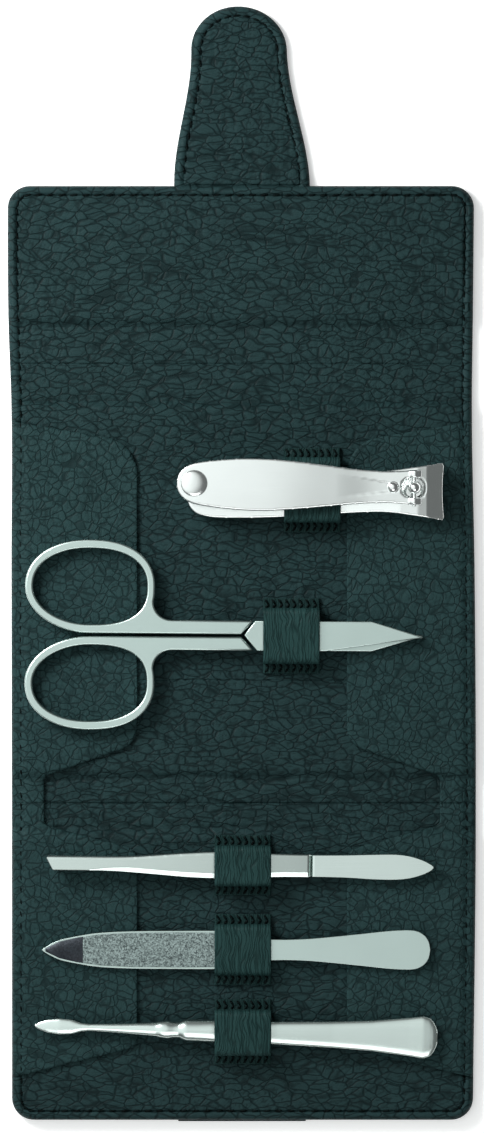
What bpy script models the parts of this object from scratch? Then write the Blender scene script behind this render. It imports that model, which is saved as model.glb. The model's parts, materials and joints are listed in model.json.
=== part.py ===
"""Leather manicure case, lying open, with five steel tools held under loops.

The case lies flat with its lining up. +X runs to the right along the creases, +Y runs from the free
edge of the front panel to the tip of the closing tab, and +Z is up. The origin is the middle of the
underside. Every size is in metres.
"""
import math

import bmesh
import bpy
from mathutils import Matrix, Vector

# Case: lengths along Y between the creases
case_width = 0.1058
tab_length = 0.0409
flap_length = 0.0320
gusset_length = 0.0168
back_length = 0.0860
spine_length = 0.0111
front_length = 0.0665
corner_radius = 0.0050
hem_width = 0.0022

# Case: thickness of each layer and the spaces between layers and pieces
leather_thickness = 0.0010
board_thickness = 0.0009
lining_thickness = 0.0008
pocket_thickness = 0.0008
loop_thickness = 0.0008
glue_line = 0.0001
gap = 0.0003
overrun = 0.0010
weld_distance = 0.000001
turned_merge = 0.00001

# Closing tab, its magnet and the patch that it lands on
tab_base_width = 0.0309
tab_waist_width = 0.0261
tab_waist_length = 0.0148
tab_end_width = 0.0219
tab_end_length = 0.0316
tab_tip_radius = 0.0080
tab_tip_crown = 0.0012
magnet_radius = 0.0060
magnet_thickness = 0.0008
magnet_from_flap = 0.0284
patch_width = 0.0290
patch_length = 0.0490
patch_thickness = 0.0005
patch_overhang = 0.0004

# Side pockets: two panels joined by a narrow strip over the spine
pocket_width = 0.0268
pocket_top_drop = 0.0048
pocket_top_slope = 0.0048
pocket_top_radius = 0.0075
pocket_low_slope = 0.0070
pocket_low_radius = 0.0045
pocket_low_drop = 0.0011
strip_width = 0.0060
strip_flare = 0.0009
front_pocket_slope = 0.0046
front_pocket_radius = 0.0035
front_pocket_reach = 0.0497
front_pocket_end_slope = 0.0070
front_pocket_end_radius = 0.0015

# Loops: width of each band and how far its sewn feet reach beyond its walls
loop_band = 0.0128
loop_foot = 0.0022
loop_corner = 0.0014
loop_room = 0.0003
front_loop_x = -0.0062

# Nail clipper, measured from the rear end of its jaws
clipper_rear_x = -0.0125
clipper_from_spine = 0.0656
clipper_loop_from_pocket = 0.0013
jaw_length = 0.0582
jaw_rear_width = 0.0120
jaw_waist_width = 0.0095
jaw_edge_width = 0.0131
lower_jaw_thickness = 0.0014
upper_jaw_thickness = 0.0014
jaw_nose_length = 0.0060
jaw_edge_height = 0.0027
jaw_opening = 0.0013
jaw_edge_land = 0.0006
rivet_inset = 0.0045
rivet_radius = 0.0016
post_inset = 0.0068
post_radius = 0.0013
post_hole_radius = 0.0017
post_flange_radius = 0.0022
post_flange_thickness = 0.0005
ball_radius = 0.0014
ball_rise = 0.0009
neck_radius = 0.00105
pin_radius = 0.0005
pin_hole_radius = 0.00065
lever_thickness = 0.0014
lever_lift = 0.0016
lever_tail = 0.0535
lever_nose = 0.0012
lever_width = 0.0122
lever_neck_width = 0.0078
lever_slot_width = 0.0041
lever_slot_reach = 0.0029
stud_from_post = 0.0048
stud_radius = 0.0013
stud_height = 0.0009
dome_from_tail = 0.0038
dome_radius = 0.0030
dome_height = 0.0008

# Nail scissors, measured from the screw
scissors_x = 0.0112
scissors_from_spine = 0.0325
scissors_yaw = math.radians(-0.4)
scissors_swing = math.radians(15)
scissors_loop_x = 0.0048
blade_reach = 0.0298
blade_taper = 0.0115
blade_width = 0.0068
blade_thickness = 0.0014
blade_heel = 0.0074
blade_inset = 0.0001
handle_gap = 0.0006
lap_reach = 0.0115
lap_run = 0.0034
shank_width = 0.0031
ring_reach = 0.0457
ring_half_length = 0.0147
ring_half_width = 0.0106
ring_wall = 0.0018
ring_rounding = 0.0005
shank_fillet = 0.0040
screw_radius = 0.0012
screw_head_radius = 0.0022
screw_head_height = 0.0006
screw_slot_width = 0.0005

# Tweezers, measured from the slanted tip
tweezers_tip_x = -0.0446
tweezers_from_front = 0.0079
tweezers_yaw = math.radians(-0.7)
tweezers_length = 0.0882
tweezers_step = 0.0603
tweezers_width = 0.0064
arm_thickness = 0.0011
arm_opening = 0.0024
tweezers_tip_slant = 0.0015

# Nail file, measured from its point
file_tip_x = -0.0454
file_from_front = 0.0276
file_length = 0.0881
file_width = 0.0088
file_thickness = 0.0010
grit_thickness = 0.0002
grit_start = 0.0093
grit_length = 0.0345
grit_inset = 0.0004

# Cuticle pusher, measured from the tip of its leaf
pusher_tip_x = -0.0469
pusher_from_front = 0.0449
pusher_yaw = math.radians(-1.7)
pusher_length = 0.0912
pusher_width = 0.0098
pusher_thickness = 0.0036
pusher_loop_room = 0.0013

# Facets of rounded corners, turned pieces and smooth outlines
corner_steps = 6
turned_steps = 24
outline_steps = 4
ring_steps = 30
dome_steps = 5
ball_steps = 6
loft_sides = 12
bevel_angle = math.radians(50)
straight_share = 0.001

# Levels of the layers above the surface that the case lies on
board_bottom = leather_thickness + glue_line
board_top = board_bottom + board_thickness
panel_lining_bottom = board_top + glue_line
panel_top = panel_lining_bottom + lining_thickness
soft_lining_bottom = leather_thickness + glue_line
soft_top = soft_lining_bottom + lining_thickness
pocket_bottom = panel_top + glue_line
pocket_top = pocket_bottom + pocket_thickness
tool_level = pocket_top + gap

# Places along Y, from the tip of the tab down to the end of the patch
total_length = (tab_length + flap_length + gusset_length + back_length
                + spine_length + front_length + patch_overhang)
tab_tip_y = total_length / 2
flap_edge_y = tab_tip_y - tab_length
flap_crease_y = flap_edge_y - flap_length
gusset_crease_y = flap_crease_y - gusset_length
spine_crease_y = gusset_crease_y - back_length
front_crease_y = spine_crease_y - spine_length
front_edge_y = front_crease_y - front_length

half_case = case_width / 2
half_inner = half_case - hem_width
half_lining = half_inner - gap
half_crease = gap / 2
clipper_loop_x = half_lining - pocket_width - clipper_loop_from_pocket - loop_band

# Linear colour, roughness and metallic value of each finish
finishes = {
    "outer_leather": ((0.012, 0.026, 0.028), 0.55, 0.0),
    "lining_leather": ((0.014, 0.030, 0.030), 0.50, 0.0),
    "pocket_leather": ((0.020, 0.044, 0.045), 0.50, 0.0),
    "loop_leather": ((0.022, 0.052, 0.050), 0.45, 0.0),
    "board": ((0.28, 0.24, 0.19), 0.90, 0.0),
    "magnet": ((0.45, 0.45, 0.46), 0.35, 1.0),
    "polished_steel": ((0.72, 0.77, 0.75), 0.22, 1.0),
    "satin_steel": ((0.58, 0.64, 0.63), 0.38, 1.0),
    "grit": ((0.20, 0.26, 0.26), 0.75, 0.3),
}


def clear_scene():
    """Remove the objects that a new file starts with."""
    for old in list(bpy.data.objects):
        bpy.data.objects.remove(old)


def new_collection(name):
    """Add a collection under the scene's own."""
    collection = bpy.data.collections.new(name)
    bpy.context.scene.collection.children.link(collection)
    return collection


def finish_material(name, finish):
    """Principled material of one sub-part."""
    colour, roughness, metallic = finishes[finish]
    material = bpy.data.materials.new(name)
    material.use_nodes = True
    shader = material.node_tree.nodes["Principled BSDF"]
    shader.inputs["Base Color"].default_value = (*colour, 1)
    shader.inputs["Roughness"].default_value = roughness
    shader.inputs["Metallic"].default_value = metallic
    return material


def make_frame(name, parent=None, place=(0, 0, 0), yaw=0):
    """Empty that carries the sub-parts of one body and stands on its joint's axis."""
    frame = bpy.data.objects.new(name, None)
    frame.empty_display_size = hem_width
    part_collection.objects.link(frame)
    frame.parent = parent
    frame.location = place
    frame.rotation_euler.z = yaw
    return frame


def weld(mesh):
    """Close a mesh at its seams and turn its faces outwards."""
    shape = bmesh.new()
    shape.from_mesh(mesh)
    bmesh.ops.remove_doubles(shape, verts=shape.verts, dist=weld_distance)
    bmesh.ops.recalc_face_normals(shape, faces=shape.faces)
    shape.to_mesh(mesh)
    shape.free()
    return mesh


def flat_mesh(outlines, bottom, top):
    """Solid between two levels, whose plan is the first outline less the others."""
    curve = bpy.data.curves.new("plan", "CURVE")
    curve.dimensions = "2D"
    curve.fill_mode = "BOTH"
    curve.extrude = (top - bottom) / 2
    curve.resolution_u = outline_steps
    for outline in outlines:
        spline = curve.splines.new("BEZIER")
        spline.bezier_points.add(len(outline) - 1)
        spline.use_cyclic_u = True
        for knot, (x, y, smooth) in zip(spline.bezier_points, outline):
            knot.co = (x, y, 0)
            knot.handle_left_type = "AUTO" if smooth else "VECTOR"
            knot.handle_right_type = "AUTO" if smooth else "VECTOR"
    plan = bpy.data.objects.new("plan", curve)
    part_collection.objects.link(plan)
    depsgraph = bpy.context.evaluated_depsgraph_get()
    mesh = bpy.data.meshes.new_from_object(plan.evaluated_get(depsgraph))
    mesh.transform(Matrix.Translation((0, 0, (top + bottom) / 2)))
    bpy.data.objects.remove(plan)
    bpy.data.curves.remove(curve)
    return weld(mesh)


def side_mesh(outline, low_y, high_y):
    """Solid whose side view is an outline in X and Z."""
    mesh = flat_mesh([outline], -high_y, -low_y)
    mesh.transform(Matrix.Rotation(math.pi / 2, 4, "X"))
    return mesh


def cross_mesh(outline, low_x, high_x):
    """Solid whose end view is an outline in Y and Z."""
    mesh = flat_mesh([outline], low_x, high_x)
    mesh.transform(Matrix(((0, 0, 1, 0), (1, 0, 0, 0), (0, 1, 0, 0), (0, 0, 0, 1))))
    return mesh


def round_mesh(radius, length):
    """Cylinder on the Z axis, centred on the origin."""
    mesh = bpy.data.meshes.new("round")
    shape = bmesh.new()
    bmesh.ops.create_cone(shape, cap_ends=True, segments=turned_steps, radius1=radius,
                          radius2=radius, depth=length)
    shape.to_mesh(mesh)
    shape.free()
    return mesh


def sub_part(name, mesh, frame, finish, origin=(0, 0, 0)):
    """Object of one sub-part. Its mesh is written about the given origin of its frame."""
    mesh.name = name
    mesh.transform(Matrix.Translation(-Vector(origin)))
    mesh.materials.clear()
    mesh.materials.append(finish_material(name, finish))
    piece = bpy.data.objects.new(name, mesh)
    part_collection.objects.link(piece)
    piece.parent = frame
    return piece


def cutter(name, mesh, frame, origin=(0, 0, 0)):
    """Hidden object that a Boolean modifier uses."""
    mesh.transform(Matrix.Translation(-Vector(origin)))
    tool = bpy.data.objects.new(name, mesh)
    cutter_collection.objects.link(tool)
    tool.parent = frame
    tool.hide_render = True
    tool.display_type = "WIRE"
    return tool


def combine(piece, tool, operation):
    """Add a Boolean modifier to a sub-part."""
    modifier = piece.modifiers.new(tool.name, "BOOLEAN")
    modifier.solver = "EXACT"
    modifier.operation = operation
    modifier.object = tool


def round_edges(piece, width, segments=2):
    """Round a sub-part's sharp edges."""
    modifier = piece.modifiers.new("round edges", "BEVEL")
    modifier.width = width
    modifier.segments = segments
    modifier.limit_method = "ANGLE"
    modifier.angle_limit = bevel_angle


def rounded(corners):
    """Outline of a polygon whose corners are given as x, y and radius."""
    outline = []
    for index, (x, y, radius) in enumerate(corners):
        corner = Vector((x, y))
        before = Vector(corners[index - 1][:2]) - corner
        after = Vector(corners[(index + 1) % len(corners)][:2]) - corner
        half_angle = before.angle(after) / 2
        if radius == 0 or math.cos(half_angle) < straight_share:
            outline.append((x, y, False))
            continue
        reach = radius / math.tan(half_angle)
        centre = corner + (before.normalized() + after.normalized()).normalized() * (
            radius / math.sin(half_angle))
        start = corner + before.normalized() * reach - centre
        end = corner + after.normalized() * reach - centre
        turn = math.atan2(start.cross(end), start.dot(end))
        for step in range(corner_steps + 1):
            point = centre + Matrix.Rotation(turn * step / corner_steps, 2) @ start
            outline.append((point.x, point.y, False))
    return outline


def circle(radius, x=0, y=0, steps=turned_steps):
    """Outline of a circle."""
    turns = [2 * math.pi * step / steps for step in range(steps)]
    return [(x + radius * math.cos(turn), y + radius * math.sin(turn), False) for turn in turns]


def mirrored(profile):
    """Outline from one side's points, given as x, half width and smooth, rear to front."""
    lower = [(x, -y, smooth) for x, y, smooth in reversed(profile) if y > 0]
    return list(profile) + lower


def scaled_profile(shares, length, width):
    """Profile points from shares of a length and of a full width."""
    return [(along * length, across * width / 2, smooth) for along, across, smooth in shares]


def turned(name, profile, frame, finish, place):
    """Turned sub-part. Its profile's points are radius and height, from top to bottom."""
    mesh = bpy.data.meshes.new(name)
    shape = bmesh.new()
    points = [shape.verts.new((radius, 0, height)) for radius, height in profile]
    for first, second in zip(points, points[1:]):
        shape.edges.new((first, second))
    shape.to_mesh(mesh)
    shape.free()
    piece = sub_part(name, mesh, frame, finish)
    piece.location = place
    screw = piece.modifiers.new("turn", "SCREW")
    screw.axis = "Z"
    screw.steps = turned_steps
    screw.render_steps = turned_steps
    screw.use_merge_vertices = True
    screw.merge_threshold = turned_merge
    return piece


def cap_profile(radius, height, rim):
    """Profile of a low domed button that stands on a short rim, top to bottom."""
    angles = [math.pi / 2 * (1 - step / dome_steps) for step in range(dome_steps + 1)]
    dome = [(radius * math.cos(angle), rim + height * math.sin(angle)) for angle in angles]
    dome[0] = (0, rim + height)
    return dome + [(radius, 0), (0, 0)]


def lofted(name, sections, frame, finish):
    """Closed body through elliptic sections, given as x, half width, bottom and top."""
    mesh = bpy.data.meshes.new(name)
    shape = bmesh.new()
    rings = []
    for x, half_width, bottom, top in sections:
        middle = (bottom + top) / 2
        ring = []
        for side in range(loft_sides):
            turn = 2 * math.pi * side / loft_sides
            y = half_width * math.cos(turn)
            z = middle + (top - bottom) / 2 * math.sin(turn)
            ring.append(shape.verts.new((x, y, z)))
        rings.append(ring)
    for first, second in zip(rings, rings[1:]):
        for side in range(loft_sides):
            after = (side + 1) % loft_sides
            shape.faces.new((first[side], first[after], second[after], second[side]))
    shape.faces.new(rings[0])
    shape.faces.new(rings[-1])
    bmesh.ops.recalc_face_normals(shape, faces=shape.faces)
    shape.to_mesh(mesh)
    shape.free()
    return sub_part(name, mesh, frame, finish)


def slab(half_width, low_y, high_y):
    """Plan of a plain rectangle that is centred on X."""
    return rounded([(-half_width, low_y, 0), (half_width, low_y, 0),
                    (half_width, high_y, 0), (-half_width, high_y, 0)])


def tab_outline(inset, base_y):
    """Plan of the tab, drawn in by an inset all round but at its base."""
    tip_y = tab_tip_y - inset
    sides = [(tab_base_width / 2 - inset, base_y, 0),
             (tab_waist_width / 2 - inset, flap_edge_y + tab_waist_length, tab_waist_length),
             (tab_end_width / 2 - inset, flap_edge_y + tab_end_length, 0),
             (tab_end_width / 2 - inset - gap, tip_y - tab_tip_crown, tab_tip_radius - inset)]
    left = [(-x, y, radius) for x, y, radius in reversed(sides)]
    return rounded(sides + [(0, tip_y, 0)] + left)


def flap_outline(inset, low_y, tab_y):
    """Plan of the flap, drawn in by an inset, with a neck that runs into the tab."""
    half = half_case - inset
    edge_y = flap_edge_y - inset
    corner = corner_radius - inset
    neck = tab_base_width / 2 - inset
    right = [(half, low_y, 0), (half, edge_y, corner), (neck, edge_y, 0), (neck, tab_y, 0)]
    left = [(-x, y, radius) for x, y, radius in reversed(right)]
    return rounded(right + left)


def front_outline(inset, high_y):
    """Plan of the front panel, drawn in by an inset on its three free sides."""
    half = half_case - inset
    edge_y = front_edge_y + inset
    corner = corner_radius - inset
    return rounded([(-half, edge_y, corner), (half, edge_y, corner),
                    (half, high_y, 0), (-half, high_y, 0)])


def leather_tray(name, frame, outer, inner, height, origin):
    """Outer leather whose free edges are turned over into a raised hem."""
    tray = sub_part(name, flat_mesh([outer], 0, height), frame, "outer_leather", origin)
    hollow = flat_mesh([inner], leather_thickness, height + overrun)
    combine(tray, cutter(name + "_hollow", hollow, frame, origin), "DIFFERENCE")
    return tray


def round_hole(piece, name, radius, bottom, top, frame, place, origin=(0, 0, 0)):
    """Cut an upright round hole or recess between two levels."""
    mesh = round_mesh(radius, top - bottom)
    mesh.transform(Matrix.Translation((place[0], place[1], (top + bottom) / 2)))
    combine(piece, cutter(name, mesh, frame, origin), "DIFFERENCE")


def build_back():
    """Back panel: leather, board and lining, which stay still."""
    low_y = spine_crease_y + half_crease
    high_y = gusset_crease_y - half_crease
    inner = slab(half_inner, low_y - overrun, high_y + overrun)
    outer = slab(half_case, low_y, high_y)
    leather_tray("back_leather", back_frame, outer, inner, panel_top, (0, 0, 0))
    board = slab(half_lining, low_y + hem_width, high_y - hem_width)
    sub_part("back_board", flat_mesh([board], board_bottom, board_top), back_frame, "board")
    lining = slab(half_lining, low_y, high_y)
    sub_part("back_lining", flat_mesh([lining], panel_lining_bottom, panel_top), back_frame,
             "lining_leather")


def build_soft_fold(name, frame, low_crease, high_crease, origin):
    """Gusset or spine: leather and lining with no board between them."""
    low_y = low_crease + half_crease
    high_y = high_crease - half_crease
    inner = slab(half_inner, low_y - overrun, high_y + overrun)
    leather_tray(name + "_leather", frame, slab(half_case, low_y, high_y), inner, soft_top, origin)
    lining = flat_mesh([slab(half_lining, low_y, high_y)], soft_lining_bottom, soft_top)
    sub_part(name + "_lining", lining, frame, "lining_leather", origin)


def build_flap():
    """Flap that folds down over the front panel."""
    low_y = flap_crease_y + half_crease
    origin = flap_origin
    outer = rounded([(-half_case, low_y, 0), (half_case, low_y, 0),
                     (half_case, flap_edge_y, corner_radius), (-half_case, flap_edge_y, corner_radius)])
    inner = flap_outline(hem_width, low_y - overrun, flap_edge_y + overrun)
    leather_tray("flap_leather", flap_frame, outer, inner, panel_top, origin)
    board = flap_outline(hem_width + gap, low_y + hem_width, flap_edge_y - hem_width)
    sub_part("flap_board", flat_mesh([board], board_bottom, board_top), flap_frame, "board", origin)
    lining = flap_outline(hem_width + gap, low_y, flap_edge_y)
    sub_part("flap_lining", flat_mesh([lining], panel_lining_bottom, panel_top), flap_frame,
             "lining_leather", origin)


def build_tab():
    """Closing tab with a magnet let in between its leather and its lining."""
    base_y = flap_edge_y + gap
    magnet_y = flap_edge_y + magnet_from_flap
    recess_depth = (magnet_thickness - glue_line) / 2 + glue_line
    leather = leather_tray("tab_leather", tab_frame, tab_outline(0, base_y),
                           tab_outline(hem_width, base_y - overrun), soft_top, tab_origin)
    round_hole(leather, "tab_leather_recess", magnet_radius + gap, leather_thickness - recess_depth,
               leather_thickness + overrun, tab_frame, (0, magnet_y), tab_origin)
    lining_plan = tab_outline(hem_width + gap, base_y)
    lining = sub_part("tab_lining", flat_mesh([lining_plan], soft_lining_bottom, soft_top), tab_frame,
                      "lining_leather", tab_origin)
    round_hole(lining, "tab_lining_recess", magnet_radius + gap, soft_lining_bottom - overrun,
               soft_lining_bottom + recess_depth, tab_frame, (0, magnet_y), tab_origin)
    middle = leather_thickness + glue_line / 2
    disc = flat_mesh([circle(magnet_radius, 0, magnet_y)], middle - magnet_thickness / 2,
                     middle + magnet_thickness / 2)
    sub_part("tab_magnet", disc, tab_frame, "magnet", tab_origin)


def build_front():
    """Front panel with its own magnet and the leather patch on its outer face."""
    high_y = front_crease_y - half_crease
    origin = front_origin
    leather = leather_tray("front_leather", front_frame, front_outline(0, high_y),
                           front_outline(hem_width, high_y + overrun), panel_top, origin)
    patch_end_y = front_edge_y - patch_overhang
    patch_high_y = front_edge_y + patch_length
    recess_half = patch_width / 2 + gap
    recess = slab(recess_half, front_edge_y - overrun, patch_high_y + gap)
    recess_cutter = cutter("patch_recess", flat_mesh([recess], -overrun, patch_thickness + glue_line),
                           front_frame, origin)
    combine(leather, recess_cutter, "DIFFERENCE")
    patch = slab(patch_width / 2, patch_end_y, patch_high_y)
    sub_part("closure_patch", flat_mesh([patch], 0, patch_thickness), front_frame, "outer_leather",
             origin)
    magnet_y = front_crease_y - magnet_from_spine
    board_plan = front_outline(hem_width + gap, high_y - hem_width)
    board_hole = circle(magnet_radius + gap, 0, magnet_y)
    board = flat_mesh([board_plan, board_hole], board_bottom, board_top)
    sub_part("front_board", board, front_frame, "board", origin)
    disc = flat_mesh([circle(magnet_radius, 0, magnet_y)], board_bottom, board_bottom + magnet_thickness)
    sub_part("front_magnet", disc, front_frame, "magnet", origin)
    lining = flat_mesh([front_outline(hem_width + gap, high_y)], panel_lining_bottom, panel_top)
    sub_part("front_lining", lining, front_frame, "lining_leather", origin)


def build_pockets(side_name, side):
    """Pocket leather along one side of the back panel, the spine and the front panel."""
    outer = half_lining
    strip = outer - strip_width
    inner = outer - pocket_width
    high_y = gusset_crease_y - pocket_top_drop
    low_y = spine_crease_y + half_crease
    back_plan = [(outer, high_y, 0),
                 (inner, high_y - pocket_top_slope, pocket_top_radius),
                 (inner, spine_crease_y + pocket_low_drop + pocket_low_slope, pocket_low_radius),
                 (strip - strip_flare, spine_crease_y + pocket_low_drop, 0),
                 (strip, low_y, 0),
                 (outer, low_y, 0)]
    top_y = front_crease_y - half_crease
    end_y = front_crease_y - front_pocket_reach
    front_plan = [(outer, top_y, 0),
                  (strip, top_y, 0),
                  (inner, top_y - front_pocket_slope, front_pocket_radius),
                  (inner, end_y, front_pocket_end_radius),
                  (outer, end_y - front_pocket_end_slope, 0)]
    spine_plan = [(outer, front_crease_y + half_crease, 0), (outer, spine_crease_y - half_crease, 0),
                  (strip, spine_crease_y - half_crease, 0), (strip, front_crease_y + half_crease, 0)]
    plans = (("back", back_frame, back_plan, pocket_bottom, (0, 0, 0)),
             ("spine", spine_frame, spine_plan, soft_top + glue_line, spine_origin),
             ("front", front_frame, front_plan, pocket_bottom, front_origin))
    for panel, frame, corners, bottom, origin in plans:
        plan = rounded([(side * x, y, radius) for x, y, radius in corners])
        mesh = flat_mesh([plan], bottom, bottom + pocket_thickness)
        sub_part(panel + "_pocket_" + side_name, mesh, frame, "pocket_leather", origin)


def build_loop(name, frame, origin, start_x, middle_y, inner_half, inner_top):
    """Leather band over a tool, sewn to the lining by its two feet."""
    bottom = panel_top + glue_line
    wall = inner_half + loop_thickness
    foot = wall + loop_foot
    top = inner_top + loop_thickness
    inner_corner = loop_corner - loop_thickness
    right = [(inner_half, inner_top, inner_corner), (inner_half, bottom, 0), (foot, bottom, 0),
             (foot, bottom + loop_thickness, 0), (wall, bottom + loop_thickness, 0),
             (wall, top, loop_corner)]
    left = [(-y, z, radius) for y, z, radius in reversed(right)]
    ends = [(middle_y + y, z, radius) for y, z, radius in right + left]
    mesh = cross_mesh(rounded(ends), start_x, start_x + loop_band)
    sub_part(name, mesh, frame, "loop_leather", origin)


# Rear of the jaws' plan, as shares of their length and rear width, and where their waist lies
jaw_plan_shares = ((0.0, 0.0, False), (0.005, 0.42, True), (0.045, 0.86, True), (0.17, 1.0, True))
jaw_waist_share = 0.70


def jaw_outline():
    """Plan of the clipper's jaws: round rear, narrow waist and flared cutting edge."""
    rear = scaled_profile(jaw_plan_shares, jaw_length, jaw_rear_width)
    edge_x = jaw_length
    front = [(jaw_length * jaw_waist_share, jaw_waist_width / 2, True),
             (edge_x - jaw_nose_length / 2, jaw_edge_width / 2 - gap, True),
             (edge_x, jaw_edge_width / 2, False)]
    return mirrored(rear + front)


def jaw_from_side(name, side_view, frame):
    """Jaw whose side view and plan are both outlines."""
    half = jaw_edge_width / 2 + overrun
    jaw = sub_part(name, side_mesh(side_view, -half, half), frame, "polished_steel")
    plan = flat_mesh([jaw_outline()], -overrun, lever_level + overrun)
    combine(jaw, cutter(name + "_plan", plan, frame), "INTERSECT")
    return jaw


def build_clipper():
    """Nail clipper: two jaws riveted at the rear, a post through the front, and a lever."""
    nose_x = jaw_length - jaw_nose_length
    post_x = jaw_length - post_inset
    lower_view = rounded([(-overrun, 0, 0), (jaw_length - jaw_nose_length / 2, 0, 0),
                          (jaw_length, jaw_edge_height - jaw_edge_land, 0),
                          (jaw_length, jaw_edge_height, 0),
                          (nose_x, lower_jaw_thickness, 0), (-overrun, lower_jaw_thickness, 0)])
    lower_jaw = jaw_from_side("clipper_lower_jaw", lower_view, clipper_frame)
    upper_view = rounded([(-overrun, upper_jaw_bottom, 0), (nose_x, upper_jaw_crown, 0),
                          (jaw_length, upper_edge_bottom, 0),
                          (jaw_length, upper_edge_bottom + jaw_edge_land, 0),
                          (jaw_length - jaw_nose_length / 2, upper_jaw_crown + upper_jaw_thickness, 0),
                          (nose_x, upper_jaw_crown + upper_jaw_thickness, 0),
                          (-overrun, upper_jaw_bottom + upper_jaw_thickness, 0)])
    upper_view = [(x, z - upper_jaw_bottom, smooth) for x, z, smooth in upper_view]
    upper_jaw = jaw_from_side("clipper_upper_jaw", upper_view, upper_jaw_frame)
    post_place = (post_x, 0)
    round_hole(lower_jaw, "lower_post_hole", post_hole_radius, -overrun,
               lower_jaw_thickness + overrun, clipper_frame, post_place)
    round_hole(lower_jaw, "lower_flange_recess", post_flange_radius + gap, -overrun,
               post_flange_thickness + gap, clipper_frame, post_place)
    round_hole(upper_jaw, "upper_post_hole", post_hole_radius, -overrun, lever_level,
               upper_jaw_frame, post_place)
    rivet_place = (rivet_inset, 0)
    rivet_hole = rivet_radius + gap
    round_hole(lower_jaw, "lower_rivet_hole", rivet_hole, -overrun, lower_jaw_thickness + overrun,
               clipper_frame, rivet_place)
    round_hole(upper_jaw, "upper_rivet_hole", rivet_hole, -overrun,
               upper_jaw_thickness * 2 + overrun, upper_jaw_frame, rivet_place)
    rivet_top = upper_jaw_bottom + upper_jaw_thickness + 2 * gap
    rivet = flat_mesh([circle(rivet_radius, rivet_inset, 0)], glue_line, rivet_top)
    sub_part("clipper_rear_rivet", rivet, clipper_frame, "polished_steel")
    build_post()
    build_lever()


def build_post():
    """Post with a flange below the jaws and a ball above the lever, and its cross pin."""
    turns = [math.pi / 2 * (1 - step / ball_steps) for step in range(2 * ball_steps)]
    ball = [(ball_radius * math.cos(turn), ball_rise + ball_radius * math.sin(turn)) for turn in turns]
    ball[0] = (0, ball_rise + ball_radius)
    ball = [point for point in ball if point[1] > ball_rise or point[0] > neck_radius]
    flange_top = post_flange_thickness + glue_line - pin_level
    flange_bottom = glue_line - pin_level
    stem = [(neck_radius, 0), (post_radius, -pin_radius * 2), (post_radius, flange_top),
            (post_flange_radius, flange_top), (post_flange_radius, flange_bottom), (0, flange_bottom)]
    post = turned("clipper_post", ball + stem, post_frame, "polished_steel", (0, 0, 0))
    bore = round_mesh(pin_hole_radius, 4 * post_radius)
    bore.transform(Matrix.Rotation(math.pi / 2, 4, "X"))
    combine(post, cutter("post_pin_hole", bore, post_frame), "DIFFERENCE")
    pin = round_mesh(pin_radius, lever_neck_width - gap)
    pin.transform(Matrix.Rotation(math.pi / 2, 4, "X"))
    sub_part("clipper_cross_pin", pin, post_frame, "polished_steel")


# Plan of the lever, as shares of its tail's length and of its full width
lever_plan_shares = ((-1.0, 0.0, True), (-0.985, 0.42, True), (-0.935, 0.76, True),
                     (-0.86, 0.88, True), (-0.66, 1.0, True), (-0.42, 0.90, True),
                     (-0.17, 0.68, True), (-0.05, 0.64, True))
slot_rounding_share = 0.9


def build_lever():
    """Lever that lies on the jaws, with its fork round the post, its stud and its thumb dome."""
    half_thick = lever_thickness / 2
    profile = scaled_profile(lever_plan_shares, lever_tail, lever_width)
    profile.append((0, lever_neck_width / 2, False))
    plate = sub_part("clipper_lever", flat_mesh([mirrored(profile)], -half_thick, half_thick),
                     lever_frame, "polished_steel")
    eye = round_mesh(lever_nose, lever_neck_width - 2 * glue_line)
    eye.transform(Matrix.Rotation(math.pi / 2, 4, "X"))
    combine(plate, cutter("lever_eye", eye, lever_frame), "UNION")
    slot_end = -lever_slot_reach
    slot_half = lever_slot_width / 2
    slot_start = lever_nose + overrun
    slot_radius = slot_half * slot_rounding_share
    slot = rounded([(slot_end, -slot_half, slot_radius), (slot_start, -slot_half, 0),
                    (slot_start, slot_half, 0), (slot_end, slot_half, slot_radius)])
    slot_mesh = flat_mesh([slot], -lever_nose - overrun, lever_nose + overrun)
    combine(plate, cutter("lever_slot", slot_mesh, lever_frame), "DIFFERENCE")
    bore = round_mesh(pin_hole_radius, lever_width)
    bore.transform(Matrix.Rotation(math.pi / 2, 4, "X"))
    combine(plate, cutter("lever_pin_hole", bore, lever_frame), "DIFFERENCE")
    turned("clipper_lever_stud", cap_profile(stud_radius, stud_height, glue_line), lever_frame,
           "polished_steel", (-stud_from_post, 0, half_thick + glue_line))
    turned("clipper_thumb_dome", cap_profile(dome_radius, dome_height, glue_line), lever_frame,
           "polished_steel", (dome_from_tail - lever_tail, 0, half_thick + glue_line))


# How far a ring's outer curve runs round, from where the two rings nearly touch to the shank
ring_turn = math.radians(-295)


def half_handle(side):
    """Plan of one finger ring and its shank, on one side of the scissors' axis."""
    base = handle_gap / 2
    middle_y = base + ring_half_width
    outline = [(-lap_reach, side * base, False)]
    for step in range(ring_steps + 1):
        angle = ring_turn * step / ring_steps - math.pi / 2
        x = -ring_reach + ring_half_length * math.cos(angle)
        y = middle_y + ring_half_width * math.sin(angle)
        outline.append((x, side * y, False))
    shoulder_x = ring_half_length - ring_reach
    edge_y = base + shank_width
    outline.append((shoulder_x + shank_fillet / 4, side * (edge_y + shank_fillet / 4), True))
    outline.append((shoulder_x + shank_fillet, side * edge_y, False))
    outline.append((lap_run - lap_reach, side * edge_y, False))
    return outline


# How wide a blade still is, a third of its taper back from the point, as a share of its width
blade_point_share = 0.62


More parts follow.
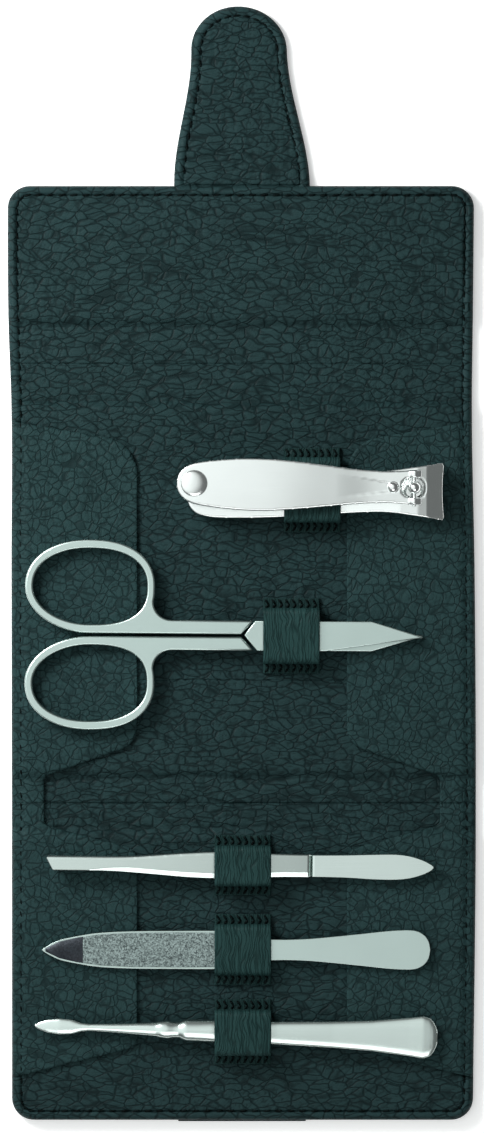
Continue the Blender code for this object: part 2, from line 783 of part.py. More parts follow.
def half_blade(side):
    """Plan of one blade, which crosses to the other side of the axis in its own layer."""
    base = handle_gap / 2
    half = blade_width / 2
    slip = gap + handle_gap
    taper_x = blade_reach - blade_taper
    return [(-lap_reach + slip, side * base, False),
            (-lap_reach + slip, side * (base + shank_width - ring_rounding), False),
            (lap_run - lap_reach, side * (base + shank_width - gap), False),
            (blade_heel, side * half, False),
            (blade_reach, -side * base, False),
            (blade_reach - blade_taper / 3, -side * half * blade_point_share, True),
            (taper_x, -side * half, False),
            (lap_run - lap_reach + slip, -side * half, False)]


def build_scissor_half(name, frame, side, layer):
    """One half of the scissors: ring and shank at full thickness, blade in one layer."""
    thickness = 2 * blade_thickness + gap
    ring_inner = []
    middle_y = side * (handle_gap / 2 + ring_half_width)
    for x, y, smooth in circle(1, steps=ring_steps):
        ring_inner.append((-ring_reach + (ring_half_length - ring_wall) * x,
                           middle_y + (ring_half_width - ring_wall) * y, smooth))
    half = sub_part(name, flat_mesh([half_handle(side), ring_inner], 0, thickness), frame,
                    "polished_steel")
    round_edges(half, ring_rounding)
    bottom = layer * (blade_thickness + gap)
    low = bottom + blade_inset * (1 - layer)
    high = bottom + blade_thickness - blade_inset * layer
    hole = circle(screw_radius + gap)
    blade = cutter(name + "_blade", flat_mesh([half_blade(side), hole], low, high), frame)
    combine(half, blade, "UNION")
    return half


# Flat crown of the screw's head, as a share of its radius
screw_crown_share = 0.7


def build_scissors():
    """Nail scissors: two crossed halves on a slotted screw."""
    build_scissor_half("scissors_half_upper", half_a_frame, 1, 0)
    build_scissor_half("scissors_half_lower", half_b_frame, -1, 1)
    top = 2 * blade_thickness + gap
    head_bottom = top + glue_line
    head_top = head_bottom + screw_head_height
    profile = [(0, head_top), (screw_head_radius * screw_crown_share, head_top),
               (screw_head_radius, head_bottom + screw_head_height / 2),
               (screw_head_radius, head_bottom), (screw_radius, head_bottom),
               (screw_radius, glue_line), (0, glue_line)]
    screw = turned("scissors_screw", profile, scissors_frame, "polished_steel", (0, 0, 0))
    slot_half = screw_slot_width / 2
    slot = flat_mesh([slab(slot_half, -2 * screw_head_radius, 2 * screw_head_radius)],
                     head_top - screw_head_height / 2, head_top + overrun)
    combine(screw, cutter("screw_slot", slot, scissors_frame), "DIFFERENCE")


# Plan of the tweezers, as shares of their length and of their greatest width
tweezers_plan_shares = ((0.0, 0.50, False), (0.16, 0.50, True), (0.27, 0.70, True), (0.40, 0.92, True),
                        (0.61, 0.84, True), (0.78, 0.84, True), (0.90, 1.0, True),
                        (0.965, 0.76, True), (1.0, 0.0, False))


def tweezers_outline():
    """Plan of the tweezers: slanted tips, narrow arms and a leaf-shaped tail."""
    outline = mirrored(scaled_profile(tweezers_plan_shares, tweezers_length, tweezers_width))
    x, y, smooth = outline[-1]
    outline[-1] = (x + tweezers_tip_slant, y, smooth)
    return outline


def build_tweezers():
    """Tweezers: a lower arm that ends in the joined tail, and an upper arm that springs."""
    half = tweezers_width / 2 + overrun
    tail_top = 2 * arm_thickness + glue_line
    upper_start = tweezers_step - gap
    lower_view = [(-overrun, 0, False), (tweezers_length + overrun, 0, False),
                  (tweezers_length + overrun, tail_top, False), (tweezers_step, tail_top, False),
                  (tweezers_step, arm_thickness, False), (-overrun, arm_thickness, False)]
    lower = sub_part("tweezers_lower_arm", side_mesh(lower_view, -half, half), tweezers_frame,
                     "polished_steel")
    plan = flat_mesh([tweezers_outline()], -overrun, tail_top + arm_opening + overrun)
    combine(lower, cutter("lower_arm_plan", plan, tweezers_frame), "INTERSECT")
    base = arm_thickness + glue_line
    upper_view = [(-overrun, base + arm_opening, False), (upper_start, base, False),
                  (upper_start, base + arm_thickness, False),
                  (-overrun, base + arm_opening + arm_thickness, False)]
    hinge = (tweezers_step, 0, base)
    upper = sub_part("tweezers_upper_arm", side_mesh(upper_view, -half, half), arm_frame,
                     "polished_steel", hinge)
    upper_plan = flat_mesh([tweezers_outline()], -overrun, tail_top + arm_opening + overrun)
    combine(upper, cutter("upper_arm_plan", upper_plan, arm_frame, hinge), "INTERSECT")


# Plan of the file, as shares of its length and of its greatest width
file_plan_shares = ((0.0, 0.0, False), (0.045, 0.50, True), (0.15, 0.88, True), (0.30, 0.96, True),
                    (0.48, 0.97, True), (0.53, 0.60, True), (0.62, 0.52, True), (0.71, 0.58, True),
                    (0.82, 0.78, True), (0.92, 0.98, True), (0.962, 1.0, True), (0.99, 0.60, True),
                    (1.0, 0.0, True))


# Plan of the bed of grit, as shares of its length and of the width inside the blank's edge
grit_plan_shares = ((0.0, 0.66, False), (0.13, 0.86, True), (0.75, 0.97, True), (1.0, 0.93, False))


def build_file():
    """Nail file: a flat blank with a bed of grit on each face."""
    half = file_thickness / 2
    middle = grit_thickness + glue_line + half
    plan = mirrored(scaled_profile(file_plan_shares, file_length, file_width))
    blank = flat_mesh([plan], middle - half, middle + half)
    sub_part("file_blank", blank, file_frame, "satin_steel")
    edge = file_width / 2 - grit_inset
    grit_plan = []
    for along, across, smooth in grit_plan_shares:
        grit_plan.append((grit_start + along * grit_length, across * edge, smooth))
    for name, bottom in (("file_grit_lower", 0), ("file_grit_upper", middle + half + glue_line)):
        grit = flat_mesh([mirrored(grit_plan)], bottom, bottom + grit_thickness)
        sub_part(name, grit, file_frame, "grit")


# Sections of the pusher: shares of its length, of half its width, and of its thickness
pusher_section_shares = ((0.0, 0.06, 0.42, 0.50), (0.012, 0.20, 0.38, 0.55), (0.05, 0.36, 0.34, 0.60),
                         (0.09, 0.34, 0.34, 0.64), (0.12, 0.19, 0.36, 0.66), (0.14, 0.17, 0.30, 0.68),
                         (0.20, 0.22, 0.25, 0.75), (0.31, 0.36, 0.13, 0.87), (0.325, 0.42, 0.08, 0.92),
                         (0.345, 0.38, 0.10, 0.90), (0.36, 0.40, 0.08, 0.92), (0.375, 0.50, 0.0, 1.0),
                         (0.44, 0.52, 0.0, 1.0), (0.47, 0.52, 0.06, 0.94), (0.60, 0.54, 0.14, 0.86),
                         (0.74, 0.62, 0.20, 0.80), (0.84, 0.72, 0.22, 0.78), (0.93, 0.90, 0.24, 0.76),
                         (0.965, 1.0, 0.24, 0.76), (0.985, 0.86, 0.26, 0.74), (1.0, 0.40, 0.34, 0.66))


def build_pusher():
    """Cuticle pusher: leaf-shaped blade, round shaft and flat flared handle in one forging."""
    sections = []
    for along, across, bottom, top in pusher_section_shares:
        sections.append((along * pusher_length, across * pusher_width / 2, bottom * pusher_thickness,
                         top * pusher_thickness))
    lofted("cuticle_pusher", sections, pusher_frame, "polished_steel")


# Clipper levels, measured from the underside of its lower jaw
upper_jaw_bottom = lower_jaw_thickness + gap
upper_edge_bottom = jaw_edge_height + jaw_opening
upper_jaw_crown = upper_edge_bottom + jaw_edge_land
pin_level = upper_jaw_crown + upper_jaw_thickness + lever_lift
lever_level = pin_level - lever_thickness / 2

# Where the front magnet has to lie for the closed tab to meet it
magnet_from_spine = back_length - flap_length - magnet_from_flap

clear_scene()
part_collection = new_collection("manicure_case")
cutter_collection = new_collection("cutters")

# Frames of the moving bodies, each on its own axis
back_frame = make_frame("back_frame")
gusset_origin = Vector((0, gusset_crease_y, panel_top))
flap_origin = Vector((0, flap_crease_y, panel_top))
tab_origin = Vector((0, flap_edge_y, 0))
spine_origin = Vector((0, spine_crease_y, pocket_top))
front_origin = Vector((0, front_crease_y, pocket_top))
gusset_frame = make_frame("gusset_frame", back_frame, gusset_origin)
flap_frame = make_frame("flap_frame", gusset_frame, flap_origin - gusset_origin)
tab_frame = make_frame("tab_frame", flap_frame, tab_origin - flap_origin)
spine_frame = make_frame("spine_frame", back_frame, spine_origin)
front_frame = make_frame("front_frame", spine_frame, front_origin - spine_origin)

clipper_place = Vector((clipper_rear_x, spine_crease_y + clipper_from_spine, tool_level))
clipper_frame = make_frame("clipper_frame", back_frame, clipper_place)
upper_jaw_frame = make_frame("upper_jaw_frame", clipper_frame, (0, 0, upper_jaw_bottom))
post_frame = make_frame("post_frame", clipper_frame, (jaw_length - post_inset, 0, pin_level))
lever_frame = make_frame("lever_frame", post_frame)

scissors_place = Vector((scissors_x, spine_crease_y + scissors_from_spine, tool_level))
scissors_frame = make_frame("scissors_frame", back_frame, scissors_place, scissors_yaw)
half_a_frame = make_frame("half_a_frame", scissors_frame)
half_b_frame = make_frame("half_b_frame", scissors_frame)

tweezers_place = Vector((tweezers_tip_x, front_crease_y - tweezers_from_front, tool_level))
tweezers_frame = make_frame("tweezers_frame", front_frame, tweezers_place - front_origin, tweezers_yaw)
arm_frame = make_frame("arm_frame", tweezers_frame, (tweezers_step, 0, arm_thickness + glue_line))

file_place = Vector((file_tip_x, front_crease_y - file_from_front, tool_level))
file_frame = make_frame("file_frame", front_frame, file_place - front_origin)

pusher_place = Vector((pusher_tip_x, front_crease_y - pusher_from_front, tool_level))
pusher_frame = make_frame("pusher_frame", front_frame, pusher_place - front_origin, pusher_yaw)

build_back()
build_soft_fold("gusset", gusset_frame, gusset_crease_y, flap_crease_y, gusset_origin)
build_flap()
build_tab()
build_soft_fold("spine", spine_frame, front_crease_y, spine_crease_y, spine_origin)
build_front()
for side_name, side in (("left", -1), ("right", 1)):
    build_pockets(side_name, side)

build_clipper()
build_scissors()
build_tweezers()
build_file()
build_pusher()

# Loops, each as wide and as high as the tool that slides through it
jaw_rise = (upper_jaw_crown - upper_jaw_bottom) / (jaw_length - jaw_nose_length)
clipper_loop_end = clipper_loop_x + loop_band - clipper_rear_x
jaw_top = upper_jaw_bottom + upper_jaw_thickness + jaw_rise * clipper_loop_end
scissors_top = 2 * blade_thickness + gap + glue_line + screw_head_height
tweezers_top = 2 * arm_thickness + glue_line + arm_opening
file_top = file_thickness + 2 * (grit_thickness + glue_line)
swing_half = math.sin(scissors_swing) * loop_band / 2 + math.cos(scissors_swing) * blade_width / 2
loops = (
    ("clipper_loop", back_frame, clipper_place, 0, clipper_loop_x, jaw_rear_width / 2, jaw_top),
    ("scissors_loop", back_frame, scissors_place, scissors_yaw, scissors_loop_x, swing_half, scissors_top),
    ("tweezers_loop", front_frame, tweezers_place, tweezers_yaw, front_loop_x, tweezers_width / 2,
     tweezers_top),
    ("file_loop", front_frame, file_place, 0, front_loop_x, file_width / 2, file_top),
    ("pusher_loop", front_frame, pusher_place, pusher_yaw, front_loop_x,
     pusher_width / 4 + pusher_loop_room, pusher_thickness),
)
for name, frame, place, yaw, start_x, half_width, height in loops:
    origin = front_origin if frame == front_frame else Vector((0, 0, 0))
    middle_y = place.y + math.tan(yaw) * (start_x + loop_band / 2 - place.x)
    build_loop(name, frame, origin, start_x, middle_y, half_width + gap + loop_room,
               tool_level + height + gap)
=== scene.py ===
"""Looks of an open leather manicure case with five steel tools under their loops.

The case lies flat with its lining up. +X runs to the right along the creases, +Y runs up to the tip
of the closing tab, and +Z is up. Sizes are in metres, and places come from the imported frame.
"""
import json
import math

import bmesh
import bpy
import numpy as np
from mathutils import Matrix, Vector, kdtree, noise


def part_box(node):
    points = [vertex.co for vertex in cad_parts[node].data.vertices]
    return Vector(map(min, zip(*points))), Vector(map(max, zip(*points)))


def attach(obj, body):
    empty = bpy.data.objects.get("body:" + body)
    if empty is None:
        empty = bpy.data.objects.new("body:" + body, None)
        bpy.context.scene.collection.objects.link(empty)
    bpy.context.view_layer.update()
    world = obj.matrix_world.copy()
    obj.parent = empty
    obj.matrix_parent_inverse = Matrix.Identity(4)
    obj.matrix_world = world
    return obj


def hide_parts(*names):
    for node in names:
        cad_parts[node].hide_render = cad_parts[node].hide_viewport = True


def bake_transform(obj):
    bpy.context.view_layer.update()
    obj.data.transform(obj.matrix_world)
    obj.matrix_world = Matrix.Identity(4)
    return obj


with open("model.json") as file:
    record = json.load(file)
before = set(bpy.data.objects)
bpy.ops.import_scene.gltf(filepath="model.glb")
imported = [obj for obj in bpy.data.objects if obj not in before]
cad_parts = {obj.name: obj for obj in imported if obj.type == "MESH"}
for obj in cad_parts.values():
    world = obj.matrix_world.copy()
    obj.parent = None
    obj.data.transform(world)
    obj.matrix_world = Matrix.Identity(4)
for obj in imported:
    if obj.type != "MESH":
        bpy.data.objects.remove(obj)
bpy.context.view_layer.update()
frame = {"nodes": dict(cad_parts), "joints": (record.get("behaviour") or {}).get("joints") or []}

mm = 0.001
weld_reach = 0.001 * mm


def low(node):
    """Lowest corner of a node's box."""
    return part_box(node)[0]


def high(node):
    """Highest corner of a node's box."""
    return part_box(node)[1]


def joint(name):
    """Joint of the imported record."""
    return next(entry for entry in frame["joints"] if entry["name"] == name)


# Places of the case along Y, and its levels
tab_tip_y = high("tab_leather").y
flap_edge_y = high("flap_leather").y
flap_crease_y = (low("flap_leather").y + high("gusset_leather").y) / 2
gusset_crease_y = (low("gusset_leather").y + high("back_leather").y) / 2
spine_crease_y = (low("back_leather").y + high("spine_leather").y) / 2
front_crease_y = (low("spine_leather").y + high("front_leather").y) / 2
front_edge_y = low("front_leather").y
gusset_middle_y = (flap_crease_y + gusset_crease_y) / 2
back_middle_y = low("scissors_loop").y - 1.5 * mm
spine_middle_y = (spine_crease_y + front_crease_y) / 2
half_case = high("back_leather").x
panel_top = high("back_lining").z
soft_top = high("spine_lining").z
tool_level = low("scissors_half_upper").z

# Leather: hem, stitch line, grain and wrinkles
leather_thickness = 1.0 * mm
lining_gap = 0.12 * mm
hem_width = 2.2 * mm
hem_rise = 0.25 * mm
stitch_inset = 2.15 * mm
stitch_pitch = 2.7 * mm
stitch_groove = 0.22 * mm
groove_width = 0.28 * mm
rim_radius = 1.05 * mm
rim_wall = 0.12 * mm
hem_middle_share = 0.45
edge_puff = 0.12 * mm
puff_reach = 1.6 * mm
corner_radius = 5.0 * mm
fine_pitch = 0.42 * mm
back_pitch = 0.65 * mm
outline_spacing = 0.12 * mm
pebble_length = 2.5 * mm
pebble_width = 1.75 * mm
pebble_depth = 0.11 * mm
valley_share = 0.30
drift_length = 12 * mm
drift_reach = 1.2 * mm
sway_length = 30 * mm
crack_width = 0.32 * mm
crack_sway = 0.9 * mm
rest_span = 100 * mm


def smooth_step(share):
    """Rise from 0 to 1 with level ends."""
    share = np.clip(share, 0, 1)
    return share * share * (3 - 2 * share)


def bell(distance, width):
    """Round bump of height 1."""
    return np.exp(-(distance / width) ** 2)


def through(place, knots):
    """Value at a place, on a smooth curve through knots given as place and value."""
    places, values = (np.array(column, float) for column in zip(*knots))
    slopes = np.gradient(values, places)
    index = np.clip(np.searchsorted(places, place) - 1, 0, len(places) - 2)
    span = places[index + 1] - places[index]
    share = np.clip((place - places[index]) / span, 0, 1)
    rise = smooth_step(share)
    start = slopes[index] * span * share * (1 - share) ** 2
    end = slopes[index + 1] * span * share ** 2 * (share - 1)
    return values[index] * (1 - rise) + values[index + 1] * rise + start + end


def in_mm(table):
    """Places of a table that is written in millimetres."""
    return [(x * mm, y * mm) for x, y in table]


def on_line(places, line):
    """Value at each place, on straight lines through points given as place and value."""
    return np.interp(places, *zip(*line))


def distances(path):
    """Distance of each point of a path from its start, along it."""
    steps = np.linalg.norm(np.diff(path, axis=0), axis=1)
    return np.concatenate([[0], np.cumsum(steps)])


def points_at(path, places):
    """Points of a path at distances from its start."""
    along = distances(path)
    return np.stack([np.interp(places, along, path[:, axis]) for axis in (0, 1)], 1)


def noise_field(plan, length, seed):
    """Smooth noise at each place, with bumps of about a given length."""
    return np.array([noise.noise((x / length, y / length, seed)) for x, y in plan])


class Outline:
    """Plan outline, with its holes walked the other way, that tells how far inside it a place lies."""

    def __init__(self, *loops):
        points = []
        ahead = []
        for corners in loops:
            loop = np.array(list(corners) + [corners[0]])
            self.length = distances(loop)[-1]
            count = int(self.length / outline_spacing)
            ring = points_at(loop, np.linspace(0, self.length, count, endpoint=False))
            points.append(ring)
            ahead.append(np.roll(ring, -2, 0) - np.roll(ring, 2, 0))
        self.points = np.concatenate(points)
        ahead = np.concatenate(ahead)
        self.ahead = ahead / np.linalg.norm(ahead, axis=1)[:, None]
        self.outward = np.stack([self.ahead[:, 1], -self.ahead[:, 0]], 1)
        self.tree = kdtree.KDTree(len(self.points))
        for index, (x, y) in enumerate(self.points):
            self.tree.insert((x, y, 0), index)
        self.tree.balance()

    def measure(self, plan):
        """Depth inside the outline, below 0 outside, and the nearest outline point of each place."""
        nearest = np.array([self.tree.find((x, y, 0))[1] for x, y in plan])
        away = plan - self.points[nearest]
        outside = np.einsum("ij,ij->i", away, self.outward[nearest]) > 0
        depth = np.linalg.norm(away, axis=1)
        return np.where(outside, -depth, depth), nearest


def arc(centre, radius, start, end, steps=12):
    """Points of an arc between two angles in degrees."""
    middle_x, middle_y = centre
    turns = np.radians(np.linspace(start, end, steps + 1))
    return [(middle_x + radius * math.cos(turn), middle_y + radius * math.sin(turn)) for turn in turns]


def rounded(corners, steps=14):
    """Closed outline through corners given as x, y and radius."""
    outline = []
    for index, (x, y, radius) in enumerate(corners):
        corner = Vector((x, y))
        before = (Vector(corners[index - 1][:2]) - corner).normalized()
        after = (Vector(corners[(index + 1) % len(corners)][:2]) - corner).normalized()
        half_angle = before.angle(after) / 2
        if radius == 0:
            outline.append((x, y))
            continue
        reach = radius / math.tan(half_angle)
        centre = corner + (before + after).normalized() * (radius / math.sin(half_angle))
        start = corner + before * reach - centre
        end = corner + after * reach - centre
        turn = math.atan2(start.cross(end), start.dot(end))
        for step in range(steps + 1):
            point = centre + Matrix.Rotation(turn * step / steps, 2) @ start
            outline.append((point.x, point.y))
    return outline


# How far the two long edges of the case stand out from straight ones, from the front edge upwards
left_bow = ((front_edge_y, 0.6 * mm), (front_crease_y, 0.55 * mm), (0, 0.45 * mm),
            (gusset_crease_y, 0.4 * mm), (flap_crease_y, -0.2 * mm), (flap_edge_y, -0.4 * mm))
right_bow = ((front_edge_y, -0.4 * mm), (front_crease_y, 0.3 * mm), (0, 0.0),
             (gusset_crease_y, -0.6 * mm), (flap_crease_y, -0.4 * mm), (flap_edge_y, -0.1 * mm))


def left_edge(y):
    """X of the case's left edge."""
    return -half_case + through(y, left_bow)


def right_edge(y):
    """X of the case's right edge."""
    return half_case + through(y, right_bow)


def case_corners():
    """Outline of the case without its tab."""
    radius = corner_radius
    low_y = front_edge_y + radius
    high_y = flap_edge_y - radius
    rising = np.linspace(low_y, high_y, 160)
    corners = arc((right_edge(low_y) - radius, low_y), radius, -90, 0)
    corners += [(right_edge(y), y) for y in rising[1:-1]]
    corners += arc((right_edge(high_y) - radius, high_y), radius, 0, 90)
    corners += arc((left_edge(high_y) + radius, high_y), radius, 90, 180)
    corners += [(left_edge(y), y) for y in rising[-2:0:-1]]
    corners += arc((left_edge(low_y) + radius, low_y), radius, 180, 270)
    return corners


# Closing tab: half its width at its root and behind its round tip, and how far its tip leans left
tab_base_half = (high("tab_leather").x - low("tab_leather").x) / 2
tab_tip_half = 10.9 * mm
tab_tip_reach = 10.0 * mm
tab_lean = 0.9 * mm
tab_root = 1.0 * mm
tab_length = tab_tip_y - flap_edge_y


def tab_half(y):
    """Half the tab's width at a place along Y."""
    reach = tab_tip_y - y
    if reach < tab_tip_reach:
        return tab_tip_half * math.sqrt(max(0, 1 - (1 - reach / tab_tip_reach) ** 2))
    share = smooth_step((reach - tab_tip_reach) / (tab_length - tab_tip_reach))
    return tab_tip_half + (tab_base_half - tab_tip_half) * share


def tab_corners():
    """Outline of the tab."""
    turns = np.linspace(0, math.pi / 2, 24)
    rising = list(np.linspace(flap_edge_y - 2 * tab_root, tab_tip_y - tab_tip_reach, 40))
    rising += [tab_tip_y - tab_tip_reach * (1 - math.sin(turn)) for turn in turns[1:]]
    right = []
    left = []
    for y in rising:
        middle = -tab_lean * (y - flap_edge_y) / tab_length
        right.append((middle + tab_half(y), y))
        left.append((middle - tab_half(y), y))
    return right + left[-2::-1]


# Side pockets: where their inner edges turn, as x, y and radius in pocket_corners
pocket_inner = low("back_pocket_right").x + 0.2 * mm
pocket_strip = 45.0 * mm
pocket_high_y = high("back_pocket_left").y
pocket_low_y = low("front_pocket_left").y
pocket_top_slope = 4.8 * mm
pocket_end_slope = 7.0 * mm
pocket_wrap = 0.12 * mm


def pocket_corners(side):
    """Outline of a side pocket, from the edge of the case to its inner edge."""
    edge = right_edge if side > 0 else left_edge
    inner = side * pocket_inner
    strip = side * pocket_strip
    turns = [(inner, pocket_high_y - pocket_top_slope, 8.5 * mm),
             (inner, spine_crease_y + 8.0 * mm, 5.5 * mm),
             (strip, spine_crease_y + 0.6 * mm, 1.8 * mm),
             (strip, front_crease_y + 0.6 * mm, 1.6 * mm),
             (inner, front_crease_y - 4.9 * mm, 3.5 * mm),
             (inner, pocket_low_y + pocket_end_slope, 2.0 * mm)]
    ends = [(edge(pocket_low_y) - side * pocket_wrap, pocket_low_y, 0)]
    for y in np.linspace(pocket_low_y, pocket_high_y, 60)[1:]:
        ends.append((edge(y) - side * pocket_wrap, y, 0))
    outline = rounded(turns + ends)
    return outline if side > 0 else outline[::-1]


case_outline = Outline(case_corners())
tab_outline = Outline(tab_corners())
pocket_outlines = {side: Outline(pocket_corners(side)) for side in (-1, 1)}


def grain(plan, cell_length, cell_width, turn, seed):
    """Height on the pebbles of the leather: 0 in the creases between them and 1 on top."""
    heights = np.empty(len(plan))
    for index, (x, y) in enumerate(plan):
        drift = noise.noise_vector((x / drift_length, y / drift_length, seed))
        sway = turn + 0.5 * noise.noise((x / sway_length, y / sway_length, seed))
        x += drift.x * drift_reach
        y += drift.y * drift_reach
        along = x * math.cos(sway) + y * math.sin(sway)
        across = y * math.cos(sway) - x * math.sin(sway)
        near, second = noise.voronoi((along / cell_length, across / cell_width, seed))[0][:2]
        heights[index] = second - near
    return smooth_step(heights / valley_share)


def wrinkles(plan, creases):
    """Fine folds that run along the creases of the case, as a depth from 0 to about 1."""
    depth = np.zeros(len(plan))
    for index, (x, y) in enumerate(plan):
        for crease_y, reach in creases:
            window = math.exp(-((y - crease_y) / reach) ** 2)
            if window < 0.02:
                continue
            shift = noise.noise((x / (14 * mm), crease_y * 90, 3.0)) * crack_sway
            crack = math.exp(-((y - crease_y - shift) / crack_width) ** 2)
            ripple = noise.noise((x / (7.5 * mm), (y + 0.1 * shift) / (1.25 * mm), crease_y * 50))
            hair = noise.noise((x / (4 * mm) + y / (4 * mm), y / (0.9 * mm), crease_y * 70))
            lines = math.exp(-(ripple / 0.11) ** 2) + 0.5 * math.exp(-(hair / 0.1) ** 2)
            depth[index] += 0.9 * crack * window + 0.6 * window * lines
    return np.minimum(depth, 1.3)


case_creases = ((flap_crease_y, 2.6 * mm), (gusset_crease_y, 2.4 * mm),
                (spine_crease_y, 2.6 * mm), (front_crease_y, 2.6 * mm))
spine_creases = case_creases[2:] + ((spine_middle_y, 5.0 * mm),)
board_inset = 2.6 * mm


def panel_share(y):
    """1 over the boards of the panels and 0 over the gusset and the spine."""
    share = np.zeros_like(y)
    for low_y, high_y in ((front_edge_y - 1, front_crease_y), (spine_crease_y, gusset_crease_y),
                          (flap_crease_y, flap_edge_y + 1)):
        inside = np.minimum(y - low_y, high_y - y)
        share = np.maximum(share, smooth_step((inside + 0.3 * mm) / board_inset))
    return share


def under_pocket(y):
    """1 along the sides where the pocket leather is turned over the hem."""
    inside = np.minimum(y - pocket_low_y, pocket_high_y - y)
    return smooth_step((inside + 0.2 * mm) / (0.4 * mm))


def rim(depth, radius):
    """Round fall from 1 to 0 over the last of a sheet towards its edge."""
    share = np.clip(depth / radius, 0, 1)
    return np.sqrt(1 - (1 - share) ** 2)


def trimmed_grid(outline, inset, pitch, low_corner, high_corner):
    """Flat grid over a rectangle, kept where it lies deeper inside an outline than an inset."""
    size = Vector(high_corner) - Vector(low_corner)
    counts = [max(2, round(length / pitch)) for length in size]
    shape = bmesh.new()
    bmesh.ops.create_grid(shape, x_segments=counts[0], y_segments=counts[1], size=0.5)
    for vert in shape.verts:
        x = low_corner[0] + (vert.co.x + 0.5) * size.x
        y = low_corner[1] + (vert.co.y + 0.5) * size.y
        vert.co = (x, y, 0)
    shape.verts.ensure_lookup_table()
    plan = np.array([vert.co[:2] for vert in shape.verts])
    depth, nearest = outline.measure(plan)
    outside = [shape.verts[i] for i in np.flatnonzero(depth < inset - 0.45 * pitch)]
    close = np.flatnonzero(np.abs(depth - inset) < 1.1 * pitch)
    near_edge = {shape.verts[i]: nearest[i] for i in close}
    bmesh.ops.delete(shape, geom=outside, context="VERTS")
    loose = [vert for vert in shape.verts if not vert.link_faces]
    bmesh.ops.delete(shape, geom=loose, context="VERTS")
    for vert, index in near_edge.items():
        if vert.is_valid and vert.is_boundary:
            point = outline.points[index] - outline.outward[index] * inset
            vert.co = (point[0], point[1], 0)
    return shape


def double_faces(shape, faces):
    """Copy faces, join each free edge to its copy, and return the copies' corners."""
    made = bmesh.ops.extrude_face_region(shape, geom=faces, use_keep_orig=True)["geom"]
    return [element for element in made if isinstance(element, bmesh.types.BMVert)]


def sheet(name, outline, inset, pitch, corners, levels, material):
    """Closed sheet of leather. levels(plan, depth) gives its top, its bottom and its grain's height, which
    sets the painted shade.
    """
    shape = trimmed_grid(outline, inset, pitch, *corners)
    flat = list(shape.verts)
    plan = np.array([vert.co[:2] for vert in flat])
    depth, _ = outline.measure(plan)
    top, bottom, height = levels(plan, depth)
    for vert, z in zip(flat, top):
        vert.co.z = z
    bottom_of = {(vert.co.x, vert.co.y): z for vert, z in zip(flat, bottom)}
    for vert in double_faces(shape, shape.faces[:]):
        vert.co.z = bottom_of[(vert.co.x, vert.co.y)]
    bmesh.ops.recalc_face_normals(shape, faces=shape.faces)
    piece = make_piece(name, shape, material)
    everywhere = np.array([vert.co[:2] for vert in piece.data.vertices])
    height_of = {tuple(np.float32(place)): value for place, value in zip(plan, height)}
    heights = [height_of[tuple(np.float32(place))] for place in everywhere]
    store_pattern(piece.data, everywhere, heights)
    return piece


def store_pattern(mesh, plan, heights):
    """Keep what the leather reads: the grain's height, whose low places its material paints in shade, and a
    UV map of where each corner rests.
    """
    values = np.array(heights, np.float32)
    mesh.attributes.new("grain", "FLOAT", "POINT").data.foreach_set("value", values)
    layer = mesh.uv_layers.new(name="rest")
    corners = np.empty(len(mesh.loops), np.int32)
    mesh.loops.foreach_get("vertex_index", corners)
    layer.data.foreach_set("uv", (plan[corners] / rest_span).astype(np.float32).ravel())


def add_object(name, data):
    """Object of a mesh, a light or a camera, put in the scene."""
    thing = bpy.data.objects.new(name, data)
    bpy.context.scene.collection.objects.link(thing)
    return thing


def finished_mesh(name, shape, material):
    """Mesh of a bmesh that needs no more work."""
    mesh = bpy.data.meshes.new(name)
    shape.to_mesh(mesh)
    shape.free()
    mesh.materials.append(material)
    return mesh


def make_piece(name, shape, material, sharp=None):
    """Smooth piece of a bmesh, whose edges past an angle in degrees may stay sharp."""
    mesh = finished_mesh(name, shape, material)
    mesh.shade_smooth()
    if sharp:
        mesh.set_sharp_from_angle(angle=math.radians(sharp))
    return add_object(name, mesh)


def fit(piece, body, *nodes):
    """Let a piece move with a body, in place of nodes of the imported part."""
    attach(piece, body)
    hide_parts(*nodes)


# Materials


